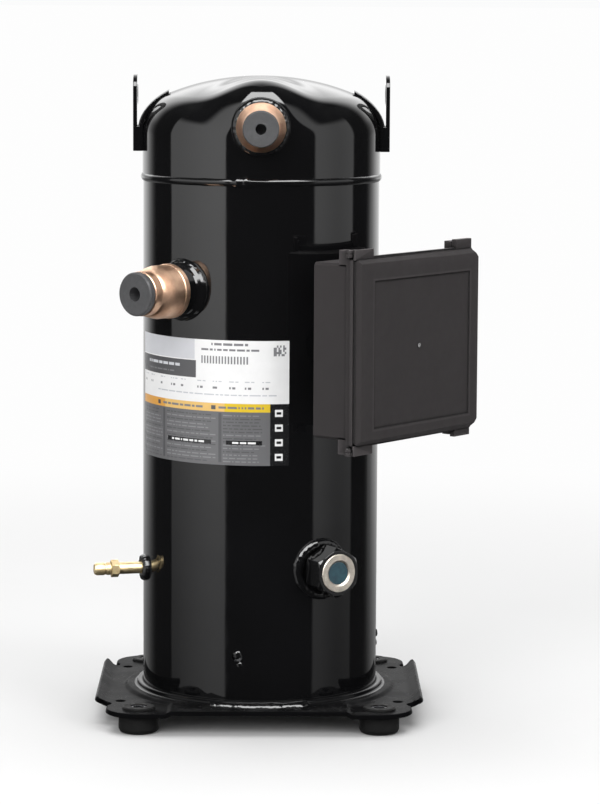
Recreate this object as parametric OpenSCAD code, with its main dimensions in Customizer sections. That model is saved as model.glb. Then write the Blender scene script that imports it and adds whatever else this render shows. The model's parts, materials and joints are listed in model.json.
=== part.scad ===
// Hermetic scroll compressor on a stamped base plate with four rubber feet.
// Origin: on the shell axis at floor level, in the middle of the bolt pattern.
// +Z is up and -Y is the front, where the discharge stub points.
// Azimuths are measured from the front and grow towards +X.

/* [Mounting] */
// Side of the square bolt pattern
pattern = 190.5; // [189:0.5:192]
// Outer diameter of a rubber grommet
grommet_d = 32; // [30:1:34]
// Height of a grommet below the base plate
grommet_h = 14.5; // [12:0.5:16]
// Diameter of the bolt hole in a grommet sleeve
bolt_hole_d = 9; // [8:0.5:10]
// Thickness of the base plate sheet
plate_t = 4; // [3.5:0.5:4]

/* [Shell] */
// Outer diameter of the shell
shell_d = 190.5; // [190.5:0.1:190.8]
// Wall thickness of the shell and the end caps
wall = 4; // [4:0.1:4.3]
// Height of the seam between the shell and the top cap
seam_z = 433.5; // [433:0.5:436]
// Height of the crown of the top cap above the seam
crown_h = 82.3; // [81:0.1:84]

/* [Stubs] */
// Azimuth of the suction stub
suction_az = -40; // [-42:1:-38]
// Height of the suction stub
suction_z = 349.5; // [348:0.5:351]
// Outer diameter of the suction stub at its tip
suction_d = 34.9; // [34.5:0.1:35.3]
// Height of the discharge stub
discharge_z = 478; // [477:0.5:479]
// Outer diameter of the discharge stub at its tip
discharge_d = 29; // [28.6:0.2:29.4]

/* [Small fittings] */
// Azimuth of the oil access valve
valve_az = -76; // [-78:1:-74]
// Height of the oil access valve
valve_z = 119.3; // [118:0.1:121]
// Azimuth of the oil sight glass
sight_az = 31.2; // [29:0.2:33]
// Height of the oil sight glass
sight_z = 129; // [127:0.5:131]

/* [Terminal box] */
// Azimuth of the terminal box
box_az = 52; // [50:1:54]
// Width of the terminal box
box_w = 166.4; // [164:0.2:170]
// Height of the terminal box
box_h = 146.4; // [144:0.2:149]
// Height of the middle of the terminal box
box_z = 308.8; // [307:0.1:310]
// Opening angle of the box cover, 0 is shut
cover_angle = 0; // [0:5:110]

/* [Scrolls] */
// Thickness of a scroll wrap
wrap_t = 4; // [3.8:0.1:4.2]
// Radius of the base circle of the wrap involute
base_circle_r = 2.75; // [2.7:0.01:2.8]
// Height of a scroll wrap
wrap_h = 26; // [25:0.5:26]
// Crank angle
crank_angle = 0; // [0:5:360]

/* [Hidden] */

$fn = 96;
// Smallest overlap that makes two bodies of one piece a single solid
eps = 0.01;
// Radial gap of a running fit and of a seated fit
run_gap = 0.05;
// Radial gap of the bench-tight fits
tight_gap = 0.02;

shell_r = shell_d / 2;
shell_in_r = shell_r - wall;

// Base plate: flat ears at the bolt holes, a raised middle and a collar round the shell
plate_bottom = grommet_h;
plate_top = plate_bottom + plate_t;
platform_top = plate_top + 2.5;
collar_top = platform_top + 3.6;
collar_in_r = shell_r + 0.25;
collar_out_r = shell_r + 4.75;
shell_foot = platform_top + 3;
ear_x = 121;
plate_y = 115;
grommet_neck_r = 11;

// Top cap: a superellipse dome with a horizontal boss for the discharge stub
flange_t = 3;
cap_foot = seam_z + flange_t;
cap_r = shell_r + 0.55;
cap_in_r = cap_r - wall;
dome_power = 2.1;
dome_h = 44;
dome_foot = seam_z + crown_h - dome_h;
boss_r = 37;
boss_front = cap_r;
lug_strip_t = 3.5;
lug_plate_x = cap_r + lug_strip_t + 0.1;
lug_plate_t = 3.3;
lug_w = 30;
lug_foot = seam_z + 22;
lug_top = seam_z + crown_h + 0.5;

// Stub fittings, lengths along the axis of each stub
suction_r = suction_d / 2;
suction_tip = shell_r + 50.25;
discharge_r = discharge_d / 2;
discharge_tip = boss_front + 30.6;
stub_wall = 1.5;
plug_grip = 12;

// Oil access valve: its tube, then its pin's spring foot, seat and travel
valve_r = 4.75;
spring_foot = 104.2;
core_seat = 115.9;
core_travel = 1.5;

// Terminal box, in its own frame: u to the right, s outwards from the shell axis
box_back = 114.7;
box_seam = 150;
box_face = 158.3;
box_wall = 3;
box_left = 1.2 - box_w / 2;
box_right = 1.2 + box_w / 2;
box_bottom = box_z - box_h / 2;
box_top = box_z + box_h / 2;
seam_gap = 0.4;
hinge_s = box_seam + 0.2;
knuckle_r = 3;
knuckle_h = 2.9;
hinge_pin_r = 1.5;
lug_rise = 6.6;
terminal_z = box_z - 4;
terminal_r = 20;
fence_in_r = 25.5;
fence_out_r = 29.5;
stud_u = 42;
conduit_r = 11.1;
conduit_s = 129.5;
conduit_z = box_z - 34;

// Scroll set, from the top down
separator_z = seam_z - 8.5;
fixed_floor = seam_z - 48.5;
fixed_top = fixed_floor + 23;
tip_gap = 0.1;
orbit_top = fixed_floor - wrap_h - tip_gap;
orbit_bottom = orbit_top - 11.9;
flange_z = orbit_top + tip_gap;
thrust_z = orbit_bottom - 0.05;
flank_gap = 0.15;
orbit_r = PI * base_circle_r - wrap_t - flank_gap;
wrap_start = 200;
wrap_end = 1375;
wrap_step = 6;
port_r = 6.5;
hub_r = 24;
hub_bore_r = 18;
hub_bottom = orbit_bottom - 22;
housing_r = shell_in_r - tight_gap;
housing_ring_in = 80;
pocket_r = 46;
pocket_floor = hub_bottom - 3;
oldham_r = 71;
oldham_w = 8;
oldham_floor = thrust_z - 7;
key_w = 8;
bolt_turn = 20;

// Crankshaft and motor
journal_r = 17;
pin_r = 11;
lower_journal_r = 12;
bush_wall = 3;
stator_foot = 140;
stator_head = 262;
stator_bore_r = 51;
rotor_r = 50.2;
slot_count = 24;
bracket_z = 60;
bracket_az = [-10.6, 90, 190];
lower_bush_top = 92;
shaft_foot = 44;

// Data label
label_z = [213, 311.5];
label_az = [-76.4, 13.8];

// ---- helpers ----

// A tube between two heights
module tube(r_out, r_in, z0, z1) {
    translate([0, 0, z0])
        difference() {
            cylinder(r = r_out, h = z1 - z0);
            translate([0, 0, -1])
                cylinder(r = r_in, h = z1 - z0 + 2);
        }
}

// A solid cylinder between two heights
module rod(r, z0, z1) {
    translate([0, 0, z0])
        cylinder(r = r, h = z1 - z0);
}

// A closed profile [radius, height] turned about the local Z axis
module turned(points) {
    rotate_extrude()
        polygon(points);
}

// Local +Z points outwards at azimuth az and height z, local +X points down
module outwards(az, z) {
    rotate([0, 0, az - 90])
        translate([0, 0, z])
            rotate([0, 90, 0])
                children();
}

// The space inside a round wall, seen from the frame of a fitting on its side
module wall_void(r) {
    rotate([0, -90, 0])
        translate([0, 0, -60])
            cylinder(r = r + tight_gap, h = 120);
}

// Local X is u, local Y is s and local Z is height, in the terminal box's frame
module box_frame() {
    rotate([0, 0, box_az])
        mirror([0, 1, 0])
            children();
}

// A block given by its lowest and highest corners
module block(low, high) {
    translate(low)
        cube(high - low);
}

// A rectangle with round corners, about the origin
module rounded_rect(w, h, r) {
    square([w - 2 * r, h], center = true);
    square([w, h - 2 * r], center = true);
    for (x = [-1, 1])
        for (y = [-1, 1])
            translate([x * (w / 2 - r), y * (h / 2 - r)])
                circle(r);
}

// A hexagonal bar with the given distance across its corners
module hex_bar(across, z0, z1) {
    translate([0, 0, z0])
        cylinder(r = across / 2, h = z1 - z0, $fn = 6);
}

// The four bolt positions
module at_bolts() {
    for (x = [-1, 1])
        for (y = [-1, 1])
            translate([x * pattern / 2, y * pattern / 2, 0])
                children();
}

// A sector of the plane between two azimuths
module sector(az0, az1, r) {
    steps = 12;
    polygon(concat(
        [[0, 0]],
        [for (i = [0:steps])
            let (a = az0 + (az1 - az0) * i / steps - 90)
            [r * cos(a), r * sin(a)]]
    ));
}

// ---- base ----

module wing_sheet() {
    translate([0, 0, -plate_t / 2])
        linear_extrude(plate_t)
            difference() {
                polygon([
                    [-3, -70], [2, -70], [9, -78], [12.5, -76], [12.5, 76], [9, 78],
                    [2, 70], [-3, 70]
                ]);
                for (y = [-1, 1])
                    translate([13.5, y * 79])
                        circle(3.2);
            }
}

module base_plate() {
    color([0.10, 0.10, 0.11])
    difference() {
        union() {
            translate([0, 0, plate_bottom])
                linear_extrude(plate_t)
                    difference() {
                        rounded_rect(2 * ear_x, 2 * plate_y, 24);
                        for (x = [-1, 1])
                            for (y = [-1, 1])
                                translate([x * (ear_x + 1.5), y * 77])
                                    circle(6);
                    }
            translate([0, 0, platform_top - plate_t])
                linear_extrude(plate_t)
                    intersection() {
                        union() {
                            circle(109);
                            square([142, 2 * plate_y], center = true);
                        }
                        square([2 * ear_x - 14, 2 * plate_y], center = true);
                    }
            rod(collar_out_r, plate_bottom, collar_top);
            for (side = [0, 180])
                rotate([0, 0, side])
                    translate([ear_x - 1, 0, plate_bottom + plate_t / 2])
                        rotate([0, -33, 0])
                            wing_sheet();
        }
        rod(collar_in_r, plate_bottom - 1, collar_top + 1);
        // underside of the raised middle
        translate([0, 0, plate_bottom - 1])
            linear_extrude(platform_top - plate_t - plate_bottom + 1)
                union() {
                    circle(105);
                    square([134, 2 * plate_y + 2], center = true);
                }
        at_bolts()
            rod(grommet_neck_r, plate_bottom - 1, plate_top + 1);
        for (x = [-1, 1])
            for (y = [-1, 1])
                translate([x * 111, y * 67, 0])
                    rod(3.8, plate_bottom - 1, platform_top + 1);
    }
}

module mounting_grommets() {
    color([0.09, 0.09, 0.09])
    at_bolts()
        turned([
            [6.5, 0], [grommet_d / 2 - 3.5, 0], [grommet_d / 2 - 1.1, 1],
            [grommet_d / 2, 3.4], [grommet_d / 2, plate_bottom],
            [grommet_neck_r, plate_bottom], [grommet_neck_r, plate_top], [13, plate_top],
            [13, plate_top + 1.2], [12, plate_top + 2.2], [6.5, plate_top + 2.2]
        ]);
}

module grommet_sleeves() {
    color([0.62, 0.62, 0.60])
    at_bolts()
        tube(6.5 - tight_gap, bolt_hole_d / 2, 0, plate_top + 1.4);
}

module bottom_cap() {
    color([0.08, 0.08, 0.09])
    turned([
        [0, 10], [70, 12], [84, 14.5], [91, 17.5], [shell_r, 21],
        [shell_r, shell_foot], [shell_in_r - tight_gap, shell_foot],
        [shell_in_r - tight_gap, shell_foot + 16], [shell_in_r - wall, shell_foot + 16],
        [shell_in_r - wall, 23], [82, 18.7], [69, 16], [0, 14]
    ]);
}

module base_welds() {
    color([0.13, 0.13, 0.14])
    for (side = [0, 180])
        intersection() {
            turned([
                [collar_out_r, platform_top], [collar_out_r + 4.2, platform_top],
                [collar_out_r + 3.4, platform_top + 1.7],
                [collar_out_r + 1.7, platform_top + 3.1],
                [collar_out_r, platform_top + 3.5]
            ]);
            translate([0, 0, platform_top - 1])
                linear_extrude(6)
                    sector(side - 24, side + 24, 150);
        }
}

// ---- pressure shell ----

module shell() {
    color([0.05, 0.05, 0.06])
    difference() {
        tube(shell_r, shell_in_r, shell_foot, seam_z);
        outwards(suction_az, suction_z)
            rod(suction_r + tight_gap, 60, 120);
        outwards(valve_az, valve_z)
            rod(valve_r + tight_gap, 60, 120);
        outwards(sight_az, sight_z)
            rod(13 + tight_gap, 60, 120);
        outwards(box_az, terminal_z)
            rod(terminal_r + tight_gap, 60, 120);
        for (az = bracket_az)
            outwards(az, bracket_z)
                rod(4, 60, 120);
    }
}

// Welds that fill the holes over the lower bearing bracket's arms
module plug_welds() {
    color([0.16, 0.16, 0.17])
    for (az = bracket_az)
        outwards(az, bracket_z)
            turned([
                [0, shell_in_r + 0.1], [4 - tight_gap, shell_in_r + 0.1],
                [4 - tight_gap, shell_r - 0.3], [3.4, shell_r + 1], [2, shell_r + 1.6],
                [0, shell_r + 1.8]
            ]);
}

module separator_plate() {
    color([0.42, 0.42, 0.44])
    turned([
        [22, separator_z], [shell_in_r - tight_gap, separator_z],
        [shell_in_r - tight_gap, seam_z], [shell_r, seam_z], [shell_r, cap_foot],
        [shell_in_r - 3, cap_foot], [shell_in_r - 3, separator_z + 3],
        [22, separator_z + 3]
    ]);
}

// Points of the dome, from its axis down to its foot
function dome_points(r, rise, foot) = [
    for (i = [0:20])
        let (q = i * 90 / 20)
        [r * pow(sin(q), 2 / dome_power), foot + rise * pow(cos(q), 2 / dome_power)]
];

module dome_solid(r, rise, z0) {
    turned(concat([[0, z0]], dome_points(r, rise, dome_foot), [[r, z0]]));
}

module boss_solid(r, front, edge) {
    translate([0, 0, discharge_z])
        rotate([90, 0, 0])
            turned(concat(
                [[0, 20], [r, 20]],
                [for (q = [0:15:90])
                    [r - edge + edge * cos(q), front - edge + edge * sin(q)]],
                [[0, front]]
            ));
}

module top_cap() {
    color([0.05, 0.05, 0.06])
    difference() {
        union() {
            dome_solid(cap_r, dome_h, cap_foot);
            intersection() {
                boss_solid(boss_r, boss_front + 0.5, 14);
                rod(cap_r, cap_foot, 600);
            }
        }
        dome_solid(cap_in_r, dome_h - wall, cap_foot - 1);
        intersection() {
            boss_solid(boss_r - wall, boss_front + 0.5 - wall, 10);
            rod(cap_in_r, cap_foot, 600);
        }
        outwards(0, discharge_z)
            rod(discharge_r + tight_gap, 60, 120);
    }
}

module cap_seam_weld() {
    color([0.10, 0.10, 0.11])
    turned([
        [shell_r + tight_gap, seam_z - 1.6], [shell_r + 1.3, seam_z - 0.8],
        [shell_r + 1.95, seam_z + 0.8], [shell_r + 1.95, seam_z + 1.9],
        [shell_r + 1.4, cap_foot + 0.6], [cap_r + tight_gap, cap_foot + 1.4],
        [cap_r + tight_gap, cap_foot - tight_gap], [shell_r + tight_gap, cap_foot - tight_gap]
    ]);
}

// Two folded strips: a leg that follows the cap's shoulder and an upright leg with a hole
module lifting_lugs() {
    color([0.07, 0.07, 0.08])
    for (side = [0, 180])
        rotate([0, 0, side]) {
            difference() {
                intersection() {
                    union() {
                        dome_solid(cap_r + lug_strip_t, dome_h + lug_strip_t, cap_foot);
                        block([cap_r - 20, -lug_w / 2, lug_foot],
                              [lug_plate_x + 1, lug_w / 2, lug_foot + 20]);
                    }
                    block([74, -lug_w / 2, lug_foot], [110, lug_w / 2, 600]);
                }
                dome_solid(cap_r + tight_gap, dome_h + tight_gap, cap_foot - 1);
            }
            translate([lug_plate_x, 0, 0])
                rotate([90, 0, 90])
                    linear_extrude(lug_plate_t)
                        difference() {
                            union() {
                                translate([-lug_w / 2, lug_foot])
                                    square([lug_w, lug_top - lug_foot - 12]);
                                translate([12 - lug_w / 2, lug_foot])
                                    square([lug_w - 24, lug_top - lug_foot]);
                                for (y = [-1, 1])
                                    translate([y * (lug_w / 2 - 12), lug_top - 12])
                                        circle(12);
                            }
                            translate([0, lug_top - 16])
                                circle(8);
                        }
        }
}

// ---- stubs ----

module suction_stub() {
    bore_r = suction_r - stub_wall;
    color([0.80, 0.52, 0.38])
    outwards(suction_az, suction_z)
        turned([
            [bore_r, shell_in_r + 0.05], [suction_r, shell_in_r + 0.05],
            [suction_r, shell_r + 14.2], [20.9, shell_r + 14.2], [21.4, shell_r + 14.9],
            [21.4, shell_r + 19.3], [20.9, shell_r + 20], [20.9, shell_r + 31],
            [20.4, shell_r + 34.6], [19.4, shell_r + 38.4], [18.6, shell_r + 41],
            [suction_r, shell_r + 42.6], [suction_r, suction_tip - 0.6],
            [suction_r - 0.6, suction_tip], [bore_r, suction_tip]
        ]);
}

// Weld at the shell and the painted neck that carries the stub
module suction_weld() {
    color([0.06, 0.06, 0.07])
    outwards(suction_az, suction_z)
        difference() {
            turned([
                [suction_r + tight_gap, 80], [24, 80], [24, shell_r + 0.8],
                [22.9, shell_r + 3], [20.8, shell_r + 4.8], [20.1, shell_r + 6.2],
                [20.1, shell_r + 13.2], [19.6, shell_r + 13.9],
                [suction_r + tight_gap, shell_r + 13.9]
            ]);
            wall_void(shell_r);
        }
}

// A plug with a blind hole, gripped in the bore of a stub of radius r
module rubber_plug(r, tip, head, hole_r) {
    difference() {
        union() {
            rod(r - stub_wall - 0.05, tip - plug_grip, tip + 0.1);
            turned([
                [0, tip + 0.1], [r - 1, tip + 0.1], [r - 0.4, tip + 1],
                [r - 0.4, tip + head - 1.3], [r - 1.4, tip + head], [0, tip + head]
            ]);
        }
        rod(hole_r, tip - plug_grip + 2, tip + head + 1);
    }
}

module suction_plug() {
    color([0.28, 0.28, 0.29])
    outwards(suction_az, suction_z)
        rubber_plug(suction_r, suction_tip, 5.8, 5.6);
}

module discharge_stub() {
    bore_r = discharge_r - stub_wall;
    color([0.86, 0.62, 0.47])
    outwards(0, discharge_z)
        turned([
            [bore_r, boss_front - 12], [discharge_r, boss_front - 12],
            [discharge_r, boss_front + 4.6], [19.5, boss_front + 4.6],
            [19.5, boss_front + 7], [18.6, boss_front + 9],
            [discharge_r + 0.6, boss_front + 15], [discharge_r, boss_front + 17],
            [discharge_r, discharge_tip - 0.6], [discharge_r - 0.6, discharge_tip],
            [bore_r, discharge_tip]
        ]);
}

module discharge_weld() {
    color([0.06, 0.06, 0.07])
    outwards(0, discharge_z)
        difference() {
            turned([
                [discharge_r + tight_gap, 80], [23.3, 80], [23.3, boss_front + 0.6],
                [22.3, boss_front + 2.6], [20, boss_front + 4.2],
                [discharge_r + tight_gap, boss_front + 4.5]
            ]);
            wall_void(cap_r);
        }
}

module discharge_plug() {
    color([0.28, 0.28, 0.29])
    outwards(0, discharge_z)
        rubber_plug(discharge_r, discharge_tip, 7.8, 4.2);
}

// ---- sight glass ----

module sight_glass_spud() {
    color([0.07, 0.07, 0.08])
    outwards(sight_az, sight_z)
        turned([
            [9, shell_in_r + 0.05], [13, shell_in_r + 0.05], [13, 108], [9, 108]
        ]);
}

module sight_glass_nut() {
    color([0.06, 0.06, 0.07])
    outwards(sight_az, sight_z)
        difference() {
            intersection() {
                hex_bar(40.6, 99.6, 120);
                turned([
                    [0, 99.6], [18.8, 99.6], [20.3, 101.4], [20.3, 117.5], [18, 120], [0, 120]
                ]);
            }
            rod(13.05, 90, 113);
            rod(10, 90, 130);
            rod(15.3, 114.5, 130);
        }
}

module sight_glass_ring() {
    color([0.66, 0.64, 0.58])
    outwards(sight_az, sight_z)
        turned([
            [9.05, 115.6], [15.25, 115.6], [15.25, 120.2], [14.6, 120.9], [10.6, 120.9],
            [9.05, 119.6]
        ]);
}

module sight_glass_lens() {
    color([0.12, 0.30, 0.34])
    outwards(sight_az, sight_z)
        rod(9, 115.6, 119.2);
}

module sight_glass_seal() {
    color([0.90, 0.90, 0.88])
    outwards(sight_az, sight_z)
        tube(15.2, 8.2, 114.5, 115.6);
}

module sight_glass_weld() {
    color([0.06, 0.06, 0.07])
    outwards(sight_az, sight_z)
        difference() {
            turned([
                [13 + tight_gap, 80], [24, 80], [24, shell_r + 0.8], [22.8, shell_r + 2.5],
                [20.2, shell_r + 3.8], [13 + tight_gap, shell_r + 4.2]
            ]);
            wall_void(shell_r);
        }
}

// ---- oil access valve ----

module oil_valve_weld() {
    color([0.06, 0.06, 0.07])
    outwards(valve_az, valve_z)
        difference() {
            turned([
                [valve_r + tight_gap, 80], [10.5, 80], [10.5, shell_r + 1.4],
                [9.9, shell_r + 2.8], [8, shell_r + 4.2], [valve_r + tight_gap, shell_r + 4.9]
            ]);
            wall_void(shell_r);
        }
}

module oil_valve_body() {
    color([0.80, 0.66, 0.34])
    outwards(valve_az, valve_z)
        difference() {
            union() {
                rod(valve_r, shell_in_r + 0.05, 118);
                hex_bar(14.4, 118, 124);
                rod(3.6, 124, 131);
            }
            rod(1.6, 85, 106);
            rod(2.6, spring_foot, 116);
            rod(1.2, 85, 126);
            rod(2.4, 122, 140);
        }
}

// Spring-loaded pin that opens the valve when pressed
module oil_valve_core() {
    color([0.78, 0.68, 0.40])
    outwards(valve_az, valve_z) {
        rod(1, core_seat - 1, 130);
        rod(2.3, core_seat - 2.4, core_seat);
    }
}

// Coil spring, drawn at the length it has when the pin is pressed
module oil_valve_spring() {
    turns = 4;
    steps = 12 * turns;
    sides = 6;
    wire_r = 0.32;
    coil_r = 2.1;
    rise = core_seat - 2.4 - core_travel - spring_foot - 4 * wire_r;
    points = [
        for (i = [0:steps])
            let (a = i * 30, z = spring_foot + 1.5 * wire_r + rise * i / steps)
            for (k = [0:sides - 1])
                let (q = k * 360 / sides, r = coil_r + wire_r * cos(q))
                [r * cos(a), r * sin(a), z + wire_r * sin(q)]
    ];
    sides_faces = [
        for (i = [0:steps - 1])
            for (k = [0:sides - 1])
                let (n = (k + 1) % sides, low = i * sides, high = (i + 1) * sides)
                [low + k, high + k, high + n, low + n]
    ];
    first = [for (k = [0:sides - 1]) k];
    last = [for (k = [0:sides - 1]) steps * sides + sides - 1 - k];
    color([0.60, 0.60, 0.62])
    outwards(valve_az, valve_z)
        polyhedron(points, concat(sides_faces, [first, last]), convexity = 8);
}

module oil_valve_cap() {
    color([0.84, 0.70, 0.36])
    outwards(valve_az, valve_z)
        difference() {
            turned([
                [0, 124.6], [5.1, 124.6], [5.1, 127.4], [4.6, 128], [4.6, 129.2], [5.1, 129.8],
                [5.1, 135.6], [4.1, 137.7], [0, 138]
            ]);
            rod(3.65, 120, 134.4);
        }
}

// ---- terminal box ----

// Outline of the box seen from the front, with the two right corners cut
module box_outline(grow, squeeze) {
    left = box_left - grow;
    right = box_right + grow;
    low = box_bottom - grow + squeeze;
    high = box_top + grow - squeeze;
    cut = 10;
    polygon([
        [left + 2, low], [right - cut, low], [right, low + cut], [right, high - cut],
        [right - cut, high], [left + 2, high], [left, high - 2], [left, low + 2]
    ]);
}

// A slab with the box outline between two distances from the shell axis. It is grown on all
// sides, and squeezed at its top and bottom
module box_slab(grow, s0, s1, squeeze = 0) {
    translate([0, s1, 0])
        rotate([90, 0, 0])
            linear_extrude(s1 - s0)
                box_outline(grow, squeeze);
}

// Runs its children at the upper and the lower hinge corner, +Z away from the box
module at_hinge_corners() {
    translate([box_left, hinge_s, box_top])
        children();
    translate([box_left, hinge_s, box_bottom])
        mirror([0, 0, 1])
            children();
}

// Runs its children at the upper and the lower latch corner, +Z away from the box
module at_latch_corners() {
    translate([box_right - 31.4, 0, box_top])
        children();
    translate([box_right - 31.4, 0, box_bottom + 2])
        mirror([0, 0, 1])
            children();
}

module terminal_box_base() {
    color([0.22, 0.21, 0.21])
    box_frame()
        difference() {
            union() {
                difference() {
                    union() {
                        box_slab(-2, box_back, box_seam, 3.2);
                        box_slab(-1, box_seam - 4, box_seam);
                    }
                    box_slab(-2 - box_wall, box_back + box_wall, box_seam + 1, 3.2);
                }
                at_hinge_corners() {
                    rod(knuckle_r, 0.2, knuckle_h);
                    block([1, -11, -6], [11, -0.2, knuckle_h]);
                    block([1, -11, knuckle_h - 1], [9, -3.5, 2 * knuckle_h - 0.4]);
                }
                at_latch_corners()
                    block([0, box_seam - 7, -5], [21, box_seam, lug_rise - 1.5]);
            }
            at_hinge_corners()
                rod(hinge_pin_r, -1, 9);
            translate([0, 0, terminal_z])
                rotate([-90, 0, 0])
                    rod(fence_out_r + 0.4, box_back - 1, box_back + box_wall + 1);
            for (side = [-1, 1])
                translate([side * stud_u, 0, terminal_z])
                    rotate([-90, 0, 0])
                        rod(2.8, box_back - 1, box_back + box_wall + 1);
            translate([0, conduit_s, conduit_z])
                rotate([0, 90, 0])
                    rod(conduit_r, box_right - 8, box_right);
        }
}

// The front of the cover, with four sides that slope in towards its face
module cover_bevel() {
    foot = box_face - 2.8;
    inset = 1.45;
    slope = 3.6;
    intersection() {
        box_slab(-inset, foot, box_face);
        translate([0, 0, box_bottom])
            linear_extrude(box_h)
                polygon([
                    [box_left + inset, foot], [box_right - inset, foot],
                    [box_right - inset - slope, box_face], [box_left + inset + slope, box_face]
                ]);
        translate([box_left, 0, 0])
            rotate([90, 0, 90])
                linear_extrude(box_w)
                    polygon([
                        [foot, box_bottom + inset], [box_face, box_bottom + inset + slope],
                        [box_face, box_top - inset - slope], [foot, box_top - inset]
                    ]);
    }
}

// The cover in its shut place
module cover_shut() {
    difference() {
        union() {
            box_slab(0, box_seam + seam_gap, box_seam + 3.4);
            box_slab(-1.4, box_seam + 3, box_face - 2.7);
            cover_bevel();
            at_hinge_corners() {
                rod(knuckle_r, knuckle_h + 0.2, 2 * knuckle_h + 0.2);
                block([0, 3.4, -2], [24, 5.3, 2 * knuckle_h + 0.2]);
                block([0, 0, knuckle_h + 0.2], [6, 5.2, 2 * knuckle_h + 0.2]);
            }
            at_latch_corners()
                block([0, box_seam + seam_gap, -3], [21, box_seam + 5, lug_rise]);
        }
        box_slab(-3, box_seam - 1, box_face - 3);
        at_hinge_corners()
            rod(hinge_pin_r + run_gap, -1, 9);
        // shallow panel in the face
        block([box_left + 22, box_face - 0.8, box_bottom + 13.4],
              [box_right - 17, box_face + 1, box_top - 19]);
    }
}

// Turns its children about the hinge by the opening angle of the cover
module opened() {
    translate([box_left, hinge_s, 0])
        rotate([0, 0, cover_angle])
            translate([-box_left, -hinge_s, 0])
                children();
}

module terminal_box_cover() {
    color([0.24, 0.23, 0.23])
    box_frame()
        opened()
            cover_shut();
}

module cover_gasket() {
    color([0.15, 0.15, 0.15])
    box_frame()
        opened()
            difference() {
                box_slab(-3.1, box_seam + 0.1, box_face - 3);
                box_slab(-6.5, box_seam - 1, box_face - 2);
            }
}

module cover_hinge_pins() {
    color([0.70, 0.70, 0.70])
    box_frame()
        at_hinge_corners()
            rod(hinge_pin_r - tight_gap, 0, 2 * knuckle_h);
}

// Ring round the motor terminals, with a cross plate and two studs that hold the box
module terminal_fence() {
    color([0.10, 0.10, 0.11])
    outwards(box_az, terminal_z)
        difference() {
            union() {
                rod(fence_out_r, 88, box_back + 6);
                translate([0, 0, box_back - 3])
                    linear_extrude(3 - tight_gap)
                        rounded_rect(24, 104, 10);
                for (side = [-1, 1])
                    translate([0, side * stud_u, 0])
                        rod(2.5, box_back - 2, box_back + 11);
            }
            rod(fence_in_r, 80, box_back + 7);
            wall_void(shell_r);
        }
}

module box_nuts() {
    color([0.65, 0.65, 0.62])
    outwards(box_az, terminal_z)
        for (side = [-1, 1])
            translate([0, side * stud_u, 0])
                difference() {
                    hex_bar(9.2, box_back + box_wall + tight_gap, box_back + box_wall + 4);
                    rod(2.5 + tight_gap, box_back, box_back + 10);
                }
}

// Runs its children at the three motor terminals
module at_pins() {
    outwards(box_az, terminal_z)
        for (i = [0:2])
            rotate([0, 0, 180 + i * 120])
                translate([9, 0, 0])
                    children();
}

module terminal_cup() {
    color([0.45, 0.45, 0.47])
    difference() {
        outwards(box_az, terminal_z)
            difference() {
                rod(terminal_r, 85, 98);
                rod(terminal_r - 2.5, 80, 94);
            }
        at_pins()
            rod(4, 90, 100);
    }
}

module terminal_glass() {
    color([0.35, 0.45, 0.40])
    at_pins()
        tube(4 - tight_gap, 1.6 + tight_gap, 94.5, 98.6);
}

module terminal_pins() {
    color([0.75, 0.60, 0.35])
    at_pins()
        rod(1.6, 80, 111);
}

module motor_protector() {
    color([0.16, 0.18, 0.20])
    box_frame() {
        difference() {
            union() {
                block([40, box_back + box_wall + 0.1, box_z + 6], [74, box_back + 22, box_z + 60]);
                block([44, box_back + 20, box_z + 10], [70, box_back + 26, box_z + 24]);
            }
            for (i = [0:3])
                translate([48 + i * 6, box_back + 27, box_z + 17])
                    rotate([90, 0, 0])
                        cylinder(r = 1.8, h = 5);
        }
    }
}

// Curved plate on the front of the shell that carries the rating data
module data_label() {
    color([0.85, 0.85, 0.83])
    intersection() {
        tube(shell_r + 0.17, shell_r + tight_gap, label_z[0], label_z[1]);
        translate([0, 0, label_z[0] - 1])
            linear_extrude(label_z[1] - label_z[0] + 2)
                sector(label_az[0], label_az[1], 200);
    }
}

// ---- scroll set ----

// A point of the wrap's flank: an involute of the base circle, shifted by half the wall
function flank(angle, shift) =
    let (
        a = base_circle_r,
        run = a * angle * PI / 180 + shift
    )
    [a * cos(angle) + run * sin(angle), a * sin(angle) - run * cos(angle)];

module wrap_outline() {
    outer = [for (q = [wrap_start:wrap_step:wrap_end]) flank(q, wrap_t / 2)];
    inner = [for (q = [wrap_start:wrap_step:wrap_end]) flank(q, -wrap_t / 2)];
    last = len(inner) - 1;
    polygon(concat(outer, [for (i = [0:last]) inner[last - i]]));
}

module fixed_scroll() {
    wall_in = 74.5;
    wall_out = 79;
    color([0.50, 0.50, 0.52])
    difference() {
        union() {
            rod(wall_out, fixed_floor, fixed_top);
            tube(wall_out, wall_in, flange_z + 9, fixed_floor + eps);
            tube(90.5, wall_in, flange_z, flange_z + 10);
            tube(22, 13, fixed_top - eps, fixed_top + 13);
            tube(60, 54, fixed_top - eps, fixed_top + 11);
            translate([0, 0, flange_z])
                linear_extrude(wrap_h + eps)
                    wrap_outline();
        }
        rod(port_r, fixed_floor - 1, fixed_top + 20);
        rod(13, fixed_floor + 15, fixed_top + 20);
        // suction opening in the outer wall, carried down through the flange
        outwards(suction_az, flange_z + 14) {
            rod(9, 70, 95);
            block([0, -9, 70], [20, 9, 95]);
        }
        for (i = [0:3])
            rotate([0, 0, bolt_turn + i * 90])
                translate([84.8, 0, 0])
                    rod(3.1, flange_z - 1, flange_z + 12);
    }
}

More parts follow.
